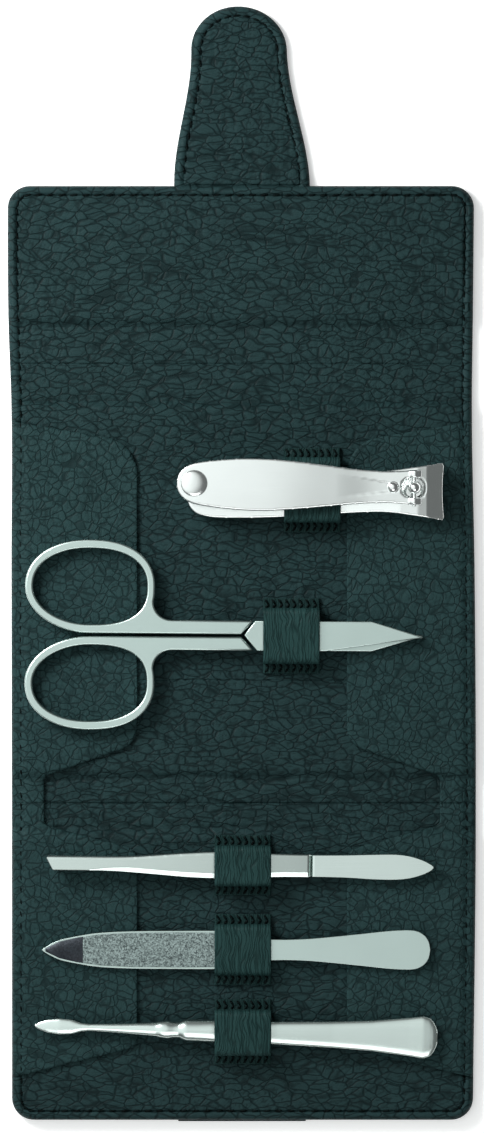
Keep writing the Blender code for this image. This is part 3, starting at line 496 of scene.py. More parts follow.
class Nodes:
    """Nodes of a material or of the world, with short ways to add and join them."""

    def __init__(self, tree):
        self.tree = tree

    def fill(self, node, inputs):
        """Set inputs of a node to values, or join them to sockets."""
        for key, value in inputs.items():
            if isinstance(value, bpy.types.NodeSocket):
                self.tree.links.new(value, node.inputs[key])
            else:
                node.inputs[key].default_value = value

    def add(self, kind, inputs=None, **settings):
        """New node with its settings and inputs."""
        node = self.tree.nodes.new(kind)
        for key, value in settings.items():
            setattr(node, key, value)
        self.fill(node, inputs or {})
        return node

    def place(self):
        """Place on the piece."""
        return self.add("ShaderNodeTexCoord").outputs["Object"]

    def clouds(self, place, scale, detail, output=0):
        """Noise over a place."""
        inputs = {"Vector": place, "Scale": scale, "Detail": detail}
        return self.add("ShaderNodeTexNoise", inputs).outputs[output]

    def span(self, value, start=0.0, end=1.0, low=0.0, high=1.0, **settings):
        """Value that goes from a start to an end while another goes from low to high."""
        inputs = {"Value": value, "From Min": low, "From Max": high, "To Min": start, "To Max": end}
        return self.add("ShaderNodeMapRange", inputs, **settings).outputs["Result"]

    def reckon(self, operation, *values):
        """Result of arithmetic on values."""
        return self.add("ShaderNodeMath", dict(enumerate(values)), operation=operation).outputs[0]

    def blend(self, factor, first, second):
        """Colour between two colours."""
        inputs = {0: factor, 6: (*first, 1), 7: (*second, 1)}
        return self.add("ShaderNodeMix", inputs, data_type="RGBA").outputs[2]

    def bump(self, height, strength, distance):
        """Normal of a surface with small bumps."""
        inputs = {"Height": height, "Strength": strength, "Distance": distance}
        return self.add("ShaderNodeBump", inputs).outputs[0]

    def cracks(self, place, cells, lowest):
        """1 inside the cells of a crackled pattern, falling to a lowest value between them."""
        inputs = {"Vector": place, "Scale": cells}
        edges = self.add("ShaderNodeTexVoronoi", inputs, feature="DISTANCE_TO_EDGE").outputs[0]
        return self.span(edges, lowest, high=0.10)


def new_material(name):
    """Empty material, its shader and its nodes."""
    material = bpy.data.materials.new(name)
    material.use_nodes = True
    tree = material.node_tree
    return material, tree.nodes["Principled BSDF"], Nodes(tree)


def leather_material(name, shade_and_blotch_colour, crown, roughness, cells=46.0, stretch=(0.68, 1.32, 1.0), turn=0.85):
    """Grained leather with thin creases round its pebbles, finer creases on them, and pores. Painted shade
    darkens the creases and the places where the grain height is low, and blotches vary its tone at random.
    """
    material, shader, nodes = new_material(name)
    rest = nodes.add("ShaderNodeUVMap", uv_map="rest").outputs[0]
    grain_height = nodes.add("ShaderNodeAttribute", attribute_name="grain").outputs["Fac"]
    drift = nodes.clouds(rest, 16.0, 2.0, "Color")
    drifted = {0: drift, 1: (0.035, 0.035, 0.0), 2: rest}
    moved = nodes.add("ShaderNodeVectorMath", drifted, operation="MULTIPLY_ADD").outputs[0]
    turned_place = {"Vector": moved, "Rotation": (0, 0, -turn), "Scale": stretch}
    pattern = nodes.add("ShaderNodeMapping", turned_place).outputs[0]
    wide_creases = nodes.cracks(pattern, cells, 0.0)
    fine_creases = nodes.cracks(pattern, cells * 2.3, 0.80)
    blotches = nodes.span(nodes.clouds(rest, 11.0, 4.0), 0.72, low=0.3, high=0.7)
    # Painted shade: the crease network and low grain heights darken the colour towards the first colour, and
    # the blotches add random tone
    fold_shade = nodes.span(grain_height, 0.25, high=0.5)
    creases = nodes.reckon("MULTIPLY", wide_creases, fine_creases)
    tone = nodes.reckon("MULTIPLY", nodes.reckon("MULTIPLY", creases, blotches), fold_shade)
    pores = nodes.clouds(pattern, 260.0, 3.0)
    height = nodes.reckon("MULTIPLY_ADD", pores, 0.25, creases)
    nodes.fill(shader, {
        "Base Color": nodes.blend(tone, shade_and_blotch_colour, crown),
        "Roughness": nodes.span(pores, roughness - 0.09, roughness + 0.09),
        "Specular IOR Level": 0.05,
        "Normal": nodes.bump(height, 0.8, 0.17 * mm),
    })
    return material


def steel_material(name, colour, roughness, lines):
    """Steel with fine brushed lines along X."""
    material, shader, nodes = new_material(name)
    place = nodes.place()
    drawn_out = {"Vector": place, "Scale": (60.0, 5200.0, 900.0)}
    brushed = nodes.clouds(nodes.add("ShaderNodeMapping", drawn_out).outputs[0], 1.0, 4.0)
    dark = tuple(channel * 0.93 for channel in colour)
    nodes.fill(shader, {
        "Base Color": nodes.blend(nodes.clouds(place, 130.0, 2.0), dark, colour),
        "Metallic": 1.0,
        "Roughness": nodes.span(brushed, roughness * 0.8, roughness * 1.25),
        "Normal": nodes.bump(brushed, lines, 0.03 * mm),
    })
    return material


def speckled_material(name, dark, light, roughness, scale, metallic):
    """Surface of fine grit, whose grains differ in tone."""
    material, shader, nodes = new_material(name)
    cells = nodes.add("ShaderNodeTexVoronoi", {"Vector": nodes.place(), "Scale": scale})
    tone = nodes.add("ShaderNodeSeparateColor", {"Color": cells.outputs["Color"]}).outputs[0]
    nodes.fill(shader, {
        "Base Color": nodes.blend(tone, dark, light),
        "Metallic": metallic,
        "Roughness": roughness,
        "Normal": nodes.bump(tone, 0.5, 0.1 * mm),
    })
    return material


def board_material(name, dark, light):
    """Grey board with short fibres."""
    material, shader, nodes = new_material(name)
    fibres = nodes.clouds(nodes.place(), 900.0, 5.0)
    nodes.fill(shader, {"Base Color": nodes.blend(fibres, dark, light), "Roughness": 0.9})
    return material


# In each leather the first colour is reached in painted shade, in the creases and where the grain lies low,
# and in random blotches. The second colour is its colour on the pebbles.
outer_leather = leather_material("outer_leather", (0.0058, 0.0138, 0.0145), (0.0170, 0.0400, 0.0418), 0.50)
lining_leather = leather_material("lining_leather", (0.0050, 0.0122, 0.0130), (0.0160, 0.0382, 0.0398), 0.50)
pocket_leather = leather_material("pocket_leather", (0.0074, 0.0182, 0.0190), (0.0188, 0.0452, 0.0465), 0.52,
                                  50.0, (0.95, 1.05, 1.0), 1.1)
loop_leather = leather_material("loop_leather", (0.0080, 0.0225, 0.0220), (0.0180, 0.0490, 0.0475), 0.42,
                                30.0, (5.0, 0.35, 1.0), 0.0)
thread_material = leather_material("stitch_thread", (0.0008, 0.0018, 0.0018), (0.0030, 0.0070, 0.0070), 0.6)
polished_steel = steel_material("polished_steel", (0.92, 0.96, 0.95), 0.20, 0.08)
satin_steel = steel_material("satin_steel", (0.56, 0.68, 0.65), 0.30, 0.25)
tool_steel = steel_material("tool_steel", (0.70, 0.80, 0.77), 0.24, 0.15)
mirror_steel = steel_material("mirror_steel", (0.88, 0.91, 0.90), 0.10, 0.04)
grit_surface = speckled_material("file_grit", (0.05, 0.07, 0.07), (0.30, 0.38, 0.37), 0.5, 3600.0, 0.5)
bare_tip = speckled_material("file_bare_tip", (0.010, 0.013, 0.018), (0.020, 0.026, 0.034), 0.35, 2200.0, 0.6)
board = board_material("grey_board", (0.20, 0.17, 0.13), (0.36, 0.31, 0.25))


# Leather sheets: each crosses one crease
flap_turn = math.radians(28)
back_turn = math.radians(12)
front_turn = math.radians(8)
swell_length = 16 * mm
swell_height = 0.10 * mm
fold_depth = 0.30 * mm
pocket_seat = 0.75 * mm
least_thickness = 0.2 * mm
hem_pebble_length = 1.3 * mm
hem_pebble_width = 0.9 * mm
hem_pebble_depth = 0.05 * mm
hem_fold_depth = 0.2 * mm
tray_gap = 0.02 * mm
tray_edge = 0.15 * mm
underside_depth = 0.12 * mm


def lining_levels(creases, turn, seed):
    """Levels of a lining sheet, with its grain turned by an angle."""

    def levels(plan, depth):
        pebble = grain(plan, pebble_length, pebble_width, turn, seed)
        folds = wrinkles(plan, creases)
        share = panel_share(plan[:, 1])
        rest = soft_top + (panel_top - soft_top) * share
        puff = edge_puff * (1 - rim(depth - hem_width, puff_reach))
        swell = noise_field(plan, swell_length, seed) * swell_height
        top = rest + pebble_depth * (pebble - 1) + swell - puff - fold_depth * folds
        bottom = leather_thickness + lining_gap + (panel_top - soft_top) * share
        # The folds lower the stored grain height, which the material turns into painted shade in them
        height = pebble * (1 - 0.7 * np.clip(folds, 0, 1))
        return top, np.minimum(bottom, top - least_thickness), height

    return levels


def shell_levels(turn, seed, outline, flat_top):
    """Levels of the outer leather, with a raised hem round its free edges and a tray between them."""

    def levels(plan, depth):
        y = plan[:, 1]
        pebble = grain(plan, pebble_length, pebble_width, turn, seed)
        fine = grain(plan, hem_pebble_length, hem_pebble_width, turn + 1, seed + 5)
        share = np.zeros_like(y) if flat_top else panel_share(y)
        hem_top = soft_top + hem_rise + (panel_top - soft_top) * share
        if outline is case_outline:
            along_side = smooth_step((np.abs(plan[:, 0]) - half_case + 8 * mm) / mm)
            hem_top = hem_top - pocket_seat * under_pocket(y) * along_side
        middle = hem_top * hem_middle_share
        bulge = rim(depth, rim_radius)
        folds = wrinkles(plan, case_creases) * 0.5 if outline is case_outline else 0
        hem = middle + rim_wall + (hem_top - middle - rim_wall) * bulge
        hem = hem - stitch_groove * bell(depth - stitch_inset, groove_width)
        hem = hem + hem_pebble_depth * (fine - 1) * bulge - hem_fold_depth * folds
        tray = leather_thickness - tray_gap
        inside = smooth_step((depth - hem_width) / tray_edge)
        top = hem * (1 - inside) + tray * inside
        lift = (1 - bulge) * (middle - rim_wall)
        bottom = lift + underside_depth * (1 - pebble) * bulge
        # The stored height sets the painted shade: the hem's fine grain in a narrow light range, the pebbles
        # elsewhere
        return top, bottom, np.where(depth < hem_width, 0.55 + 0.45 * fine, pebble)

    return levels


def bend(piece):
    """Bake a piece's place into its mesh."""
    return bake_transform(piece)


overlap = 8 * mm
wrinkle_reach = 9 * mm
sections = (
    ("front", front_edge_y - overlap, spine_middle_y, "front_panel", "spine", front_crease_y, front_turn),
    ("lower_back", spine_middle_y, back_middle_y, "spine", "back_panel", spine_crease_y, back_turn),
    ("upper_back", back_middle_y, gusset_middle_y, "back_panel", "gusset", gusset_crease_y, back_turn),
    ("flap", gusset_middle_y, flap_edge_y + overlap, "gusset", "flap", flap_crease_y, flap_turn),
)
panels = {"front": ("front",), "lower_back": ("spine",), "upper_back": ("back", "gusset"), "flap": ("flap",)}
case_reach = half_case + 2 * mm
for name, low_y, high_y, first, second, crease_y, turn in sections:
    span = ((-case_reach, low_y), (case_reach, high_y))
    shell = sheet(name + "_outer_leather", case_outline, 0, back_pitch, span,
                  shell_levels(turn, 2.5, case_outline, False), outer_leather)
    bend(shell)
    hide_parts(*(panel + "_leather" for panel in panels[name]))
    creases = [crease for crease in case_creases + spine_creases[2:]
               if low_y - wrinkle_reach < crease[0] < high_y + wrinkle_reach]
    lining = sheet(name + "_lining_leather", case_outline, hem_width, fine_pitch, span,
                   lining_levels(creases, turn, 7.5), lining_leather)
    bend(lining)
    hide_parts(*(panel + "_lining" for panel in panels[name]))


# Tab: its grain and its folds
tab_pebble_length = 2.6 * mm
tab_pebble_width = 1.9 * mm
tab_turn = math.radians(35)
tab_fold_depth = 0.26 * mm


def tab_levels(plan, depth):
    """Levels of the tab's inner leather, creased across its root and along its end."""
    pebble = grain(plan, tab_pebble_length, tab_pebble_width, tab_turn, 4.5)
    rise = (plan[:, 1] - flap_edge_y) / tab_length
    folds = np.empty(len(plan))
    for index, (x, y) in enumerate(plan):
        root_fold = noise.noise((x / (9 * mm) + y / (12 * mm), y / (1.6 * mm), 9.0))
        long_fold = noise.noise((x / (1.6 * mm), y / (10 * mm) + x / (10 * mm), 5.0))
        near_root = math.exp(-((rise[index] - 0.13) / 0.13) ** 2)
        near_tip = 0.6 * math.exp(-((rise[index] - 0.75) / 0.22) ** 2)
        root_lines = math.exp(-(root_fold / 0.10) ** 2)
        long_lines = math.exp(-(long_fold / 0.07) ** 2)
        folds[index] = near_root * root_lines + near_tip * long_lines
    top = soft_top + pebble_depth * (pebble - 1) - tab_fold_depth * folds
    top = top - edge_puff * (1 - rim(depth - hem_width, puff_reach))
    bottom = np.full(len(plan), leather_thickness + 0.1 * mm)
    # The folds lower the stored grain height, which the material turns into painted shade in them
    return top, bottom, pebble * (1 - 0.7 * np.clip(folds, 0, 1))


def bend_tab(piece):
    """Bake a piece's place into its mesh."""
    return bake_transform(piece)


tab_reach = tab_base_half + 2 * mm
tab_span = ((-tab_reach, flap_edge_y - tab_root), (tab_reach, tab_tip_y + 2 * mm))
tab_shell = sheet("tab_outer_leather", tab_outline, 0, back_pitch, tab_span,
                  shell_levels(flap_turn, 4.5, tab_outline, True), outer_leather)
tab_lining = sheet("tab_lining_leather", tab_outline, hem_width, fine_pitch, tab_span,
                   tab_levels, lining_leather)
for piece, node in ((tab_shell, "tab_leather"), (tab_lining, "tab_lining")):
    bend_tab(piece)
    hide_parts(node)


# Pocket leather: its grain, and how it lies over the hem
pocket_pebble_length = 2.1 * mm
pocket_pebble_width = 1.6 * mm
pocket_turn = math.radians(70)
pocket_rise = 1.0 * mm
pocket_dip = 0.55 * mm
pocket_middle = 1.2 * mm
pocket_wall = 0.1 * mm
pocket_fold_depth = 0.24 * mm
pocket_groove_width = 0.26 * mm
cut_edge_drop = 0.10 * mm
cut_edge_reach = 0.5 * mm
hem_room = 0.45 * mm


def pocket_levels(seed):
    """Levels of the pocket leather, which is turned over the hem at the side of the case."""

    def levels(plan, depth):
        y = plan[:, 1]
        pebble = grain(plan, pocket_pebble_length, pocket_pebble_width, pocket_turn, seed)
        folds = wrinkles(plan, spine_creases)
        share = panel_share(y)
        case_depth, _ = case_outline.measure(plan)
        flat = soft_top + pocket_rise + (panel_top - soft_top) * share
        level = flat - pocket_dip * (1 - smooth_step((case_depth - 1.2 * mm) / (2.6 * mm)))
        bulge = rim(case_depth, rim_radius)
        top = pocket_middle + pocket_wall + (level - pocket_middle - pocket_wall) * bulge
        top = top - stitch_groove * bell(case_depth - stitch_inset, pocket_groove_width)
        top = top + 0.8 * pebble_depth * (pebble - 1) * bulge - pocket_fold_depth * folds
        top = top - cut_edge_drop * (1 - rim(depth, cut_edge_reach))
        under = soft_top + lining_gap + (panel_top - soft_top) * share
        under = under - hem_room * (1 - smooth_step((case_depth - hem_width) / (0.6 * mm)))
        bottom = np.minimum(pocket_middle + (under - pocket_middle) * bulge, top - pocket_wall)
        # The folds lower the stored grain height, which the material turns into painted shade in them
        return top, bottom, pebble * (1 - 0.6 * np.clip(folds, 0, 1))

    return levels


pocket_parts = (
    ("front", pocket_low_y - mm, spine_middle_y, "front_panel", "spine", front_crease_y),
    ("back", spine_middle_y, pocket_high_y + mm, "spine", "back_panel", spine_crease_y),
)
for side, side_name in ((-1, "left"), (1, "right")):
    edges = sorted((side * pocket_inner, side * case_reach))
    for name, low_y, high_y, first, second, crease_y in pocket_parts:
        span = ((edges[0] - mm, low_y), (edges[1] + mm, high_y))
        pocket = sheet(f"{name}_{side_name}_pocket", pocket_outlines[side], 0, fine_pitch, span,
                       pocket_levels(11.5 + side), pocket_leather)
        bend(pocket)
        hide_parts(f"{name}_pocket_{side_name}", f"spine_pocket_{side_name}")


# Threads of the seams
thread_radius = 0.24 * mm
thread_length = 1.75 * mm
stitch_slant = math.radians(9)


def add_thread(shape, centre, along, length=thread_length, radius=thread_radius):
    """Add one stitch of thread, a short bar with round ends that lies along a direction."""
    ahead = Vector(along).normalized()
    side = Vector((0, 0, 1)).cross(ahead).normalized()
    turn = Matrix((ahead, side, ahead.cross(side))).transposed().to_4x4()
    size = Matrix.Diagonal((length / 2, radius, radius, 1))
    place = Matrix.Translation(centre) @ turn @ size
    bmesh.ops.create_uvsphere(shape, u_segments=8, v_segments=6, radius=1, matrix=place)


def thread_piece(name, shape):
    """Piece of a group of threads, with the pattern that its material reads."""
    piece = make_piece(name, shape, thread_material)
    plan = np.array([vert.co[:2] for vert in piece.data.vertices])
    store_pattern(piece.data, plan, np.ones(len(plan)))
    return piece


def seam_level(x, y, outline):
    """Height at which a seam's threads lie."""
    if outline is tab_outline:
        return soft_top - 0.02 * mm
    share = float(panel_share(np.array([y]))[0])
    level = soft_top + (panel_top - soft_top) * share
    if abs(x) > half_case - 6 * mm:
        level += 0.28 * mm * float(under_pocket(np.array([y]))[0])
    return level + 0.02 * mm


def seam_places(outline):
    """Places and directions of the stitches round an outline."""
    count = round(outline.length / stitch_pitch)
    for step in range(count):
        index = round((step + 0.5) * len(outline.points) / count) % len(outline.points)
        point = outline.points[index] - outline.outward[index] * stitch_inset
        yield point[0], point[1], outline.ahead[index]


def seam(name, outline, low_y, high_y):
    """Threads round an outline, between two places along Y."""
    shape = bmesh.new()
    for x, y, ahead in seam_places(outline):
        if low_y <= y < high_y:
            along = Matrix.Rotation(stitch_slant, 2) @ Vector(ahead)
            add_thread(shape, (x, y, seam_level(x, y, outline)), (along.x, along.y, 0))
    return thread_piece(name, shape)


for name, low_y, high_y, first, second, crease_y, _ in sections:
    bend(seam(name + "_seam", case_outline, low_y, high_y))
bend_tab(seam("tab_seam", tab_outline, flap_edge_y + stitch_pitch, tab_tip_y))


# Leather loops
band_thickness = 0.8 * mm
band_fillet = 1.0 * mm
band_rows = 46
band_steps = 109
foot_length = 2.2 * mm
foot_fillet = 0.45 * mm
foot_stitches = 8
foot_rows = ((0.75 * mm, math.radians(55)), (1.75 * mm, math.radians(125)))


def loop_path(node):
    """Middle line of a loop's band in Y and Z, its outward directions, and distances along it."""
    low_corner, high_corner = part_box(node)
    half = band_thickness / 2
    foot_z = low_corner.z + half
    top_z = high_corner.z - half
    wall_low = low_corner.y + foot_length + half
    wall_high = high_corner.y - foot_length - half
    corners = [(low_corner.y, foot_z, 0), (wall_low, foot_z, foot_fillet), (wall_low, top_z, band_fillet),
               (wall_high, top_z, band_fillet), (wall_high, foot_z, foot_fillet), (high_corner.y, foot_z, 0)]
    path = np.array(rounded(corners, 8))
    places = np.linspace(0, distances(path)[-1], band_steps + 1)
    points = points_at(path, places)
    ahead = np.gradient(points, axis=0)
    ahead /= np.linalg.norm(ahead, axis=1)[:, None]
    return points, np.stack([-ahead[:, 1], ahead[:, 0]], 1), places


def build_band(node, body, seed):
    """Band of smooth leather that passes over a tool."""
    low_corner, high_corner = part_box(node)
    width = high_corner.x - low_corner.x
    points, outward, places = loop_path(node)
    shape = bmesh.new()
    bmesh.ops.create_grid(shape, x_segments=band_rows, y_segments=band_steps, size=0.5)
    inner = set(double_faces(shape, shape.faces[:]))
    for vert in shape.verts:
        across = vert.co.x + 0.5
        step = round((vert.co.y + 0.5) * band_steps)
        x = low_corner.x + across * width
        streaks = noise.noise((x / (0.6 * mm), places[step] / (6 * mm), seed)) * 0.05 * mm
        swell = noise.noise((x / (4 * mm), places[step] / (4 * mm), seed + 2)) * 0.06 * mm
        from_edge = min(across, 1 - across) * width
        rounding = 0.14 * mm * max(0, 1 - from_edge / (0.4 * mm)) ** 2
        offset = band_thickness / 2 + streaks + swell - rounding
        if vert in inner:
            offset = -band_thickness / 2
        y, z = points[step] + outward[step] * offset
        vert.co = (x, y, z)
    bmesh.ops.recalc_face_normals(shape, faces=shape.faces)
    piece = make_piece(node + "_band", shape, loop_leather)
    foot_top = low_corner.z + band_thickness + 0.25 * mm
    plan = []
    heights = []
    for x, y, z in (vert.co for vert in piece.data.vertices):
        streak = noise.noise((x / (0.8 * mm), y / (7 * mm), seed))
        plan.append((x, y + z))
        # The feet get a low height, so the material paints shade on them. The band gets lengthwise streaks of
        # grain.
        heights.append(0.06 if z < foot_top else 0.75 + 0.6 * streak)
    store_pattern(piece.data, np.array(plan), heights)
    fit(piece, body, node)


def build_foot_seams(node, body):
    """Two rows of slanting threads on each foot of a loop."""
    low_corner, high_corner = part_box(node)
    width = high_corner.x - low_corner.x
    level = low_corner.z + band_thickness + 0.06 * mm
    threads = bmesh.new()
    for end_y, inward in ((low_corner.y, 1), (high_corner.y, -1)):
        for row, (reach, slant) in enumerate(foot_rows):
            along = (math.cos(slant), inward * math.sin(slant), 0)
            for step in range(foot_stitches):
                x = low_corner.x + width * (step + 0.5 + 0.12 * row) / 8.3
                add_thread(threads, (x, end_y + inward * reach, level), along, 1.35 * mm, 0.27 * mm)
    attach(thread_piece(node + "_seam", threads), body)


loops = (("clipper_loop", "back_panel"), ("scissors_loop", "back_panel"), ("tweezers_loop", "front_panel"),
         ("file_loop", "front_panel"), ("pusher_loop", "front_panel"))
for seed, (node, body) in enumerate(loops):
    build_band(node, body, seed + 1.5)
    build_foot_seams(node, body)

# Steel tools


def in_frame(shape, place, yaw=0.0):
    """Turn a mesh made round the origin, and move it to its place."""
    matrix = Matrix.Translation(place) @ Matrix.Rotation(yaw, 4, "Z")
    bmesh.ops.transform(shape, verts=shape.verts, matrix=matrix)


def is_level(edge):
    """Whether both ends of an edge lie at one height."""
    return abs(edge.verts[0].co.z - edge.verts[1].co.z) < weld_reach


def plate(shape, polygons, low_z, high_z, rounding, segments=4):
    """Add a flat plate whose plan is one or more polygons, with rounded edges."""
    corners = {}
    plan = []
    for polygon in polygons:
        verts = []
        for x, y in polygon:
            key = (round(x / weld_reach), round(y / weld_reach))
            if key not in corners:
                corners[key] = shape.verts.new((x, y, low_z))
            if corners[key] not in verts:
                verts.append(corners[key])
        plan.append(shape.faces.new(verts))
    raised = double_faces(shape, plan)
    bmesh.ops.translate(shape, verts=raised, vec=(0, 0, high_z - low_z))
    ours = set(raised) | set(corners.values())
    faces = [face for face in shape.faces if face.verts[0] in ours]
    bmesh.ops.recalc_face_normals(shape, faces=faces)
    edges = set()
    for face in faces:
        if abs(face.normal.z) < 0.5:
            edges.update(edge for edge in face.edges if is_level(edge))
    bmesh.ops.bevel(shape, geom=list(edges), offset=rounding, offset_type="OFFSET", segments=segments,
                    profile=0.5, affect="EDGES", material=-1, clamp_overlap=True)


def flatten_caps(piece):
    """Shade the level faces of a plate as flat, so that only its edges look round."""
    for face in piece.data.polygons:
        if abs(face.normal.z) > 0.9999:
            face.use_smooth = False
    return piece


def smooth_outline(points, steps=10):
    """Smooth curve through points, given in order, as a list of places."""
    points = [Vector(point) for point in points]
    curve = []
    for index in range(len(points) - 1):
        before = points[max(index - 1, 0)]
        start, end = points[index], points[index + 1]
        after = points[min(index + 2, len(points) - 1)]
        for step in range(steps):
            share = step / steps
            pull = (end - before) * 0.5, (after - start) * 0.5
            point = start * (2 * share ** 3 - 3 * share ** 2 + 1) + end * (3 * share ** 2 - 2 * share ** 3)
            point += pull[0] * (share ** 3 - 2 * share ** 2 + share) + pull[1] * (share ** 3 - share ** 2)
            curve.append((point.x, point.y))
    return curve + [tuple(points[-1])]


def shaped_sheet(outline, pitch, rounding, levels, rows=5):
    """Sheet of steel with round edges and curved faces. levels(plan) gives its top and its bottom."""
    margin = 2 * pitch
    low_corner = outline.points.min(0) - margin
    high_corner = outline.points.max(0) + margin
    shape = trimmed_grid(outline, rounding, pitch, low_corner, high_corner)
    for vert in shape.verts:
        vert.co.z = 1
    for vert in double_faces(shape, shape.faces[:]):
        vert.co.z = 0
    walls = [edge for edge in shape.edges if not is_level(edge)]
    bmesh.ops.subdivide_edges(shape, edges=walls, cuts=rows, use_grid_fill=True)
    plan = np.array([vert.co[:2] for vert in shape.verts])
    height = np.array([vert.co.z for vert in shape.verts])
    _, nearest = outline.measure(plan)
    top, bottom = levels(plan)
    on_wall = (height > 1e-4) & (height < 1 - 1e-4)
    angle = math.pi * (1 - height)
    reach = np.where(on_wall, rounding * np.sin(angle), 0)
    half = (top - bottom) / 2
    plan = plan + outline.outward[nearest] * reach[:, None]
    z = (top + bottom) / 2 + half * np.where(on_wall, np.cos(angle), np.sign(height - 0.5))
    for vert, place, level in zip(shape.verts, plan, z):
        vert.co = (place[0], place[1], level)
    bmesh.ops.recalc_face_normals(shape, faces=shape.faces)
    return shape


# Clipper: jaws, lever and post
clipper_rear_x = low("clipper_lower_jaw").x
clipper_nose_x = high("clipper_lower_jaw").x
clipper_y = (low("clipper_lower_jaw").y + high("clipper_lower_jaw").y) / 2
jaw_sag = -0.40 * mm
post_place = Vector(joint("lever_swivel")["pos_m"])
post_lean = 0.45 * mm
lever_yaw = math.radians(-1.1)
jaw_length = clipper_nose_x - clipper_rear_x
jaw_thickness = 1.4 * mm
jaw_rounding = 0.30 * mm
jaw_bottom = low("clipper_lower_jaw").z
upper_jaw_rise = low("clipper_upper_jaw").z + 0.1 * mm
edge_bottom = jaw_bottom + 4.0 * mm
nose_length = 6.0 * mm
nose_half = 6.3 * mm
nose_hollow = 0.35 * mm
post_x = post_place.x - clipper_rear_x
hole_radius = 1.75 * mm
hollow_radius = 2.35 * mm
hollow_edge = 0.35 * mm
jaw_half_widths = ((0.0, 0.0), (0.25, 2.6), (1.3, 4.3), (3.2, 5.4), (8.0, 6.0), (20.0, 5.9), (32.0, 5.2),
                   (41.0, 4.75), (46.0, 4.85), (51.0, 5.5), (55.5, 6.15), (58.0, 6.5))


def jaw_outline():
    """Plan of the jaws: round rear, narrow waist, and a flared nose with a hollow cutting edge."""
    side = smooth_outline(in_mm(jaw_half_widths), 8)
    edge = [(jaw_length - nose_hollow * (1 - (step / 5) ** 2), nose_half * step / 5) for step in range(-5, 6)]
    return [(x, -y) for x, y in side] + edge + side[:0:-1]


def build_jaw(name, node, body, top_view, bottom_view, hollow_depth):
    """One jaw of the clipper, with a hole round its post. Its side views are places and heights."""
    turns = np.linspace(2 * math.pi, 0, 40, endpoint=False)
    hole = [(post_x + hole_radius * math.cos(turn), hole_radius * math.sin(turn)) for turn in turns]

    def levels(plan):
        from_post = np.hypot(plan[:, 0] - post_x, plan[:, 1] - post_lean + jaw_sag)
        hollow = 1 - smooth_step((from_post - hollow_radius) / hollow_edge)
        top = on_line(plan[:, 0], top_view) - hollow_depth * hollow
        return top, on_line(plan[:, 0], bottom_view)

    shape = shaped_sheet(Outline(jaw_outline(), hole), 0.32 * mm, jaw_rounding, levels)
    in_frame(shape, (clipper_rear_x, clipper_y + jaw_sag, 0))
    fit(make_piece(name, shape, polished_steel), body, node)


nose_start = jaw_length - nose_length
upper_jaw_top = upper_jaw_rise + jaw_thickness
upper_top = ((0, upper_jaw_top), (nose_start - 16 * mm, upper_jaw_top + 1.5 * mm),
             (nose_start - 4 * mm, upper_jaw_top + 2.75 * mm), (nose_start, upper_jaw_top + 2.8 * mm),
             (nose_start + 2.2 * mm, upper_jaw_top + 2.6 * mm),
             (jaw_length - 0.3 * mm, edge_bottom + 0.65 * mm), (jaw_length, edge_bottom + 0.5 * mm))
upper_bottom = ((0, upper_jaw_rise), (nose_start - 16 * mm, upper_jaw_rise + 1.5 * mm),
                (nose_start - 2 * mm, upper_jaw_rise + 2.8 * mm), (jaw_length, edge_bottom + 0.05 * mm))
lower_top = ((0, jaw_bottom + jaw_thickness), (nose_start, jaw_bottom + jaw_thickness),
             (jaw_length, jaw_bottom + 2.7 * mm))
lower_bottom = ((0, jaw_bottom), (jaw_length - nose_length / 2, jaw_bottom),
                (jaw_length, jaw_bottom + 2.1 * mm))
build_jaw("clipper_lower_jaw_plate", "clipper_lower_jaw", "clipper", lower_top, lower_bottom, 0)
build_jaw("clipper_upper_jaw_plate", "clipper_upper_jaw", "upper_jaw", upper_top, upper_bottom, 0.45 * mm)

# Lever: half widths and heights in millimetres from the post, and the slot of its fork
lever_half_widths = ((-53.7, 0.0), (-53.3, 1.9), (-52.2, 3.35), (-50.5, 4.35), (-48.0, 4.95), (-44.0, 5.45),
                     (-39.0, 5.85), (-33.0, 5.85), (-27.0, 5.45), (-21.0, 4.85), (-15.0, 4.15), (-11.0, 3.8),
                     (-7.0, 3.62), (-3.5, 3.7), (-0.5, 3.95), (1.7, 4.1))
lever_rise = ((-54, 0.35), (-48, 0.62), (-38, 0.85), (-28, 0.85), (-18, 0.45), (-10, 0.05), (-4, 0.0),
              (2, 0.0))
lever_bottom_level = low("clipper_thumb_dome").z - 1.5 * mm
lever_thickness = 1.4 * mm
tongue_start = -18 * mm
slot_half = 2.15 * mm
slot_reach = 2.9 * mm
eye_radius = 1.25 * mm


def lever_outline():
    """Plan of the lever: round thumb end, narrow neck and a fork with two prongs."""
    side = smooth_outline(in_mm(lever_half_widths), 8)
    end_x = side[-1][0]
    slot = arc((slot_half - slot_reach, 0), slot_half, 90, 270, 20)
    fork = [(end_x, -slot_half)] + slot[::-1] + [(end_x, slot_half)]
    return [(x, -y) for x, y in side] + fork + side[:0:-1]


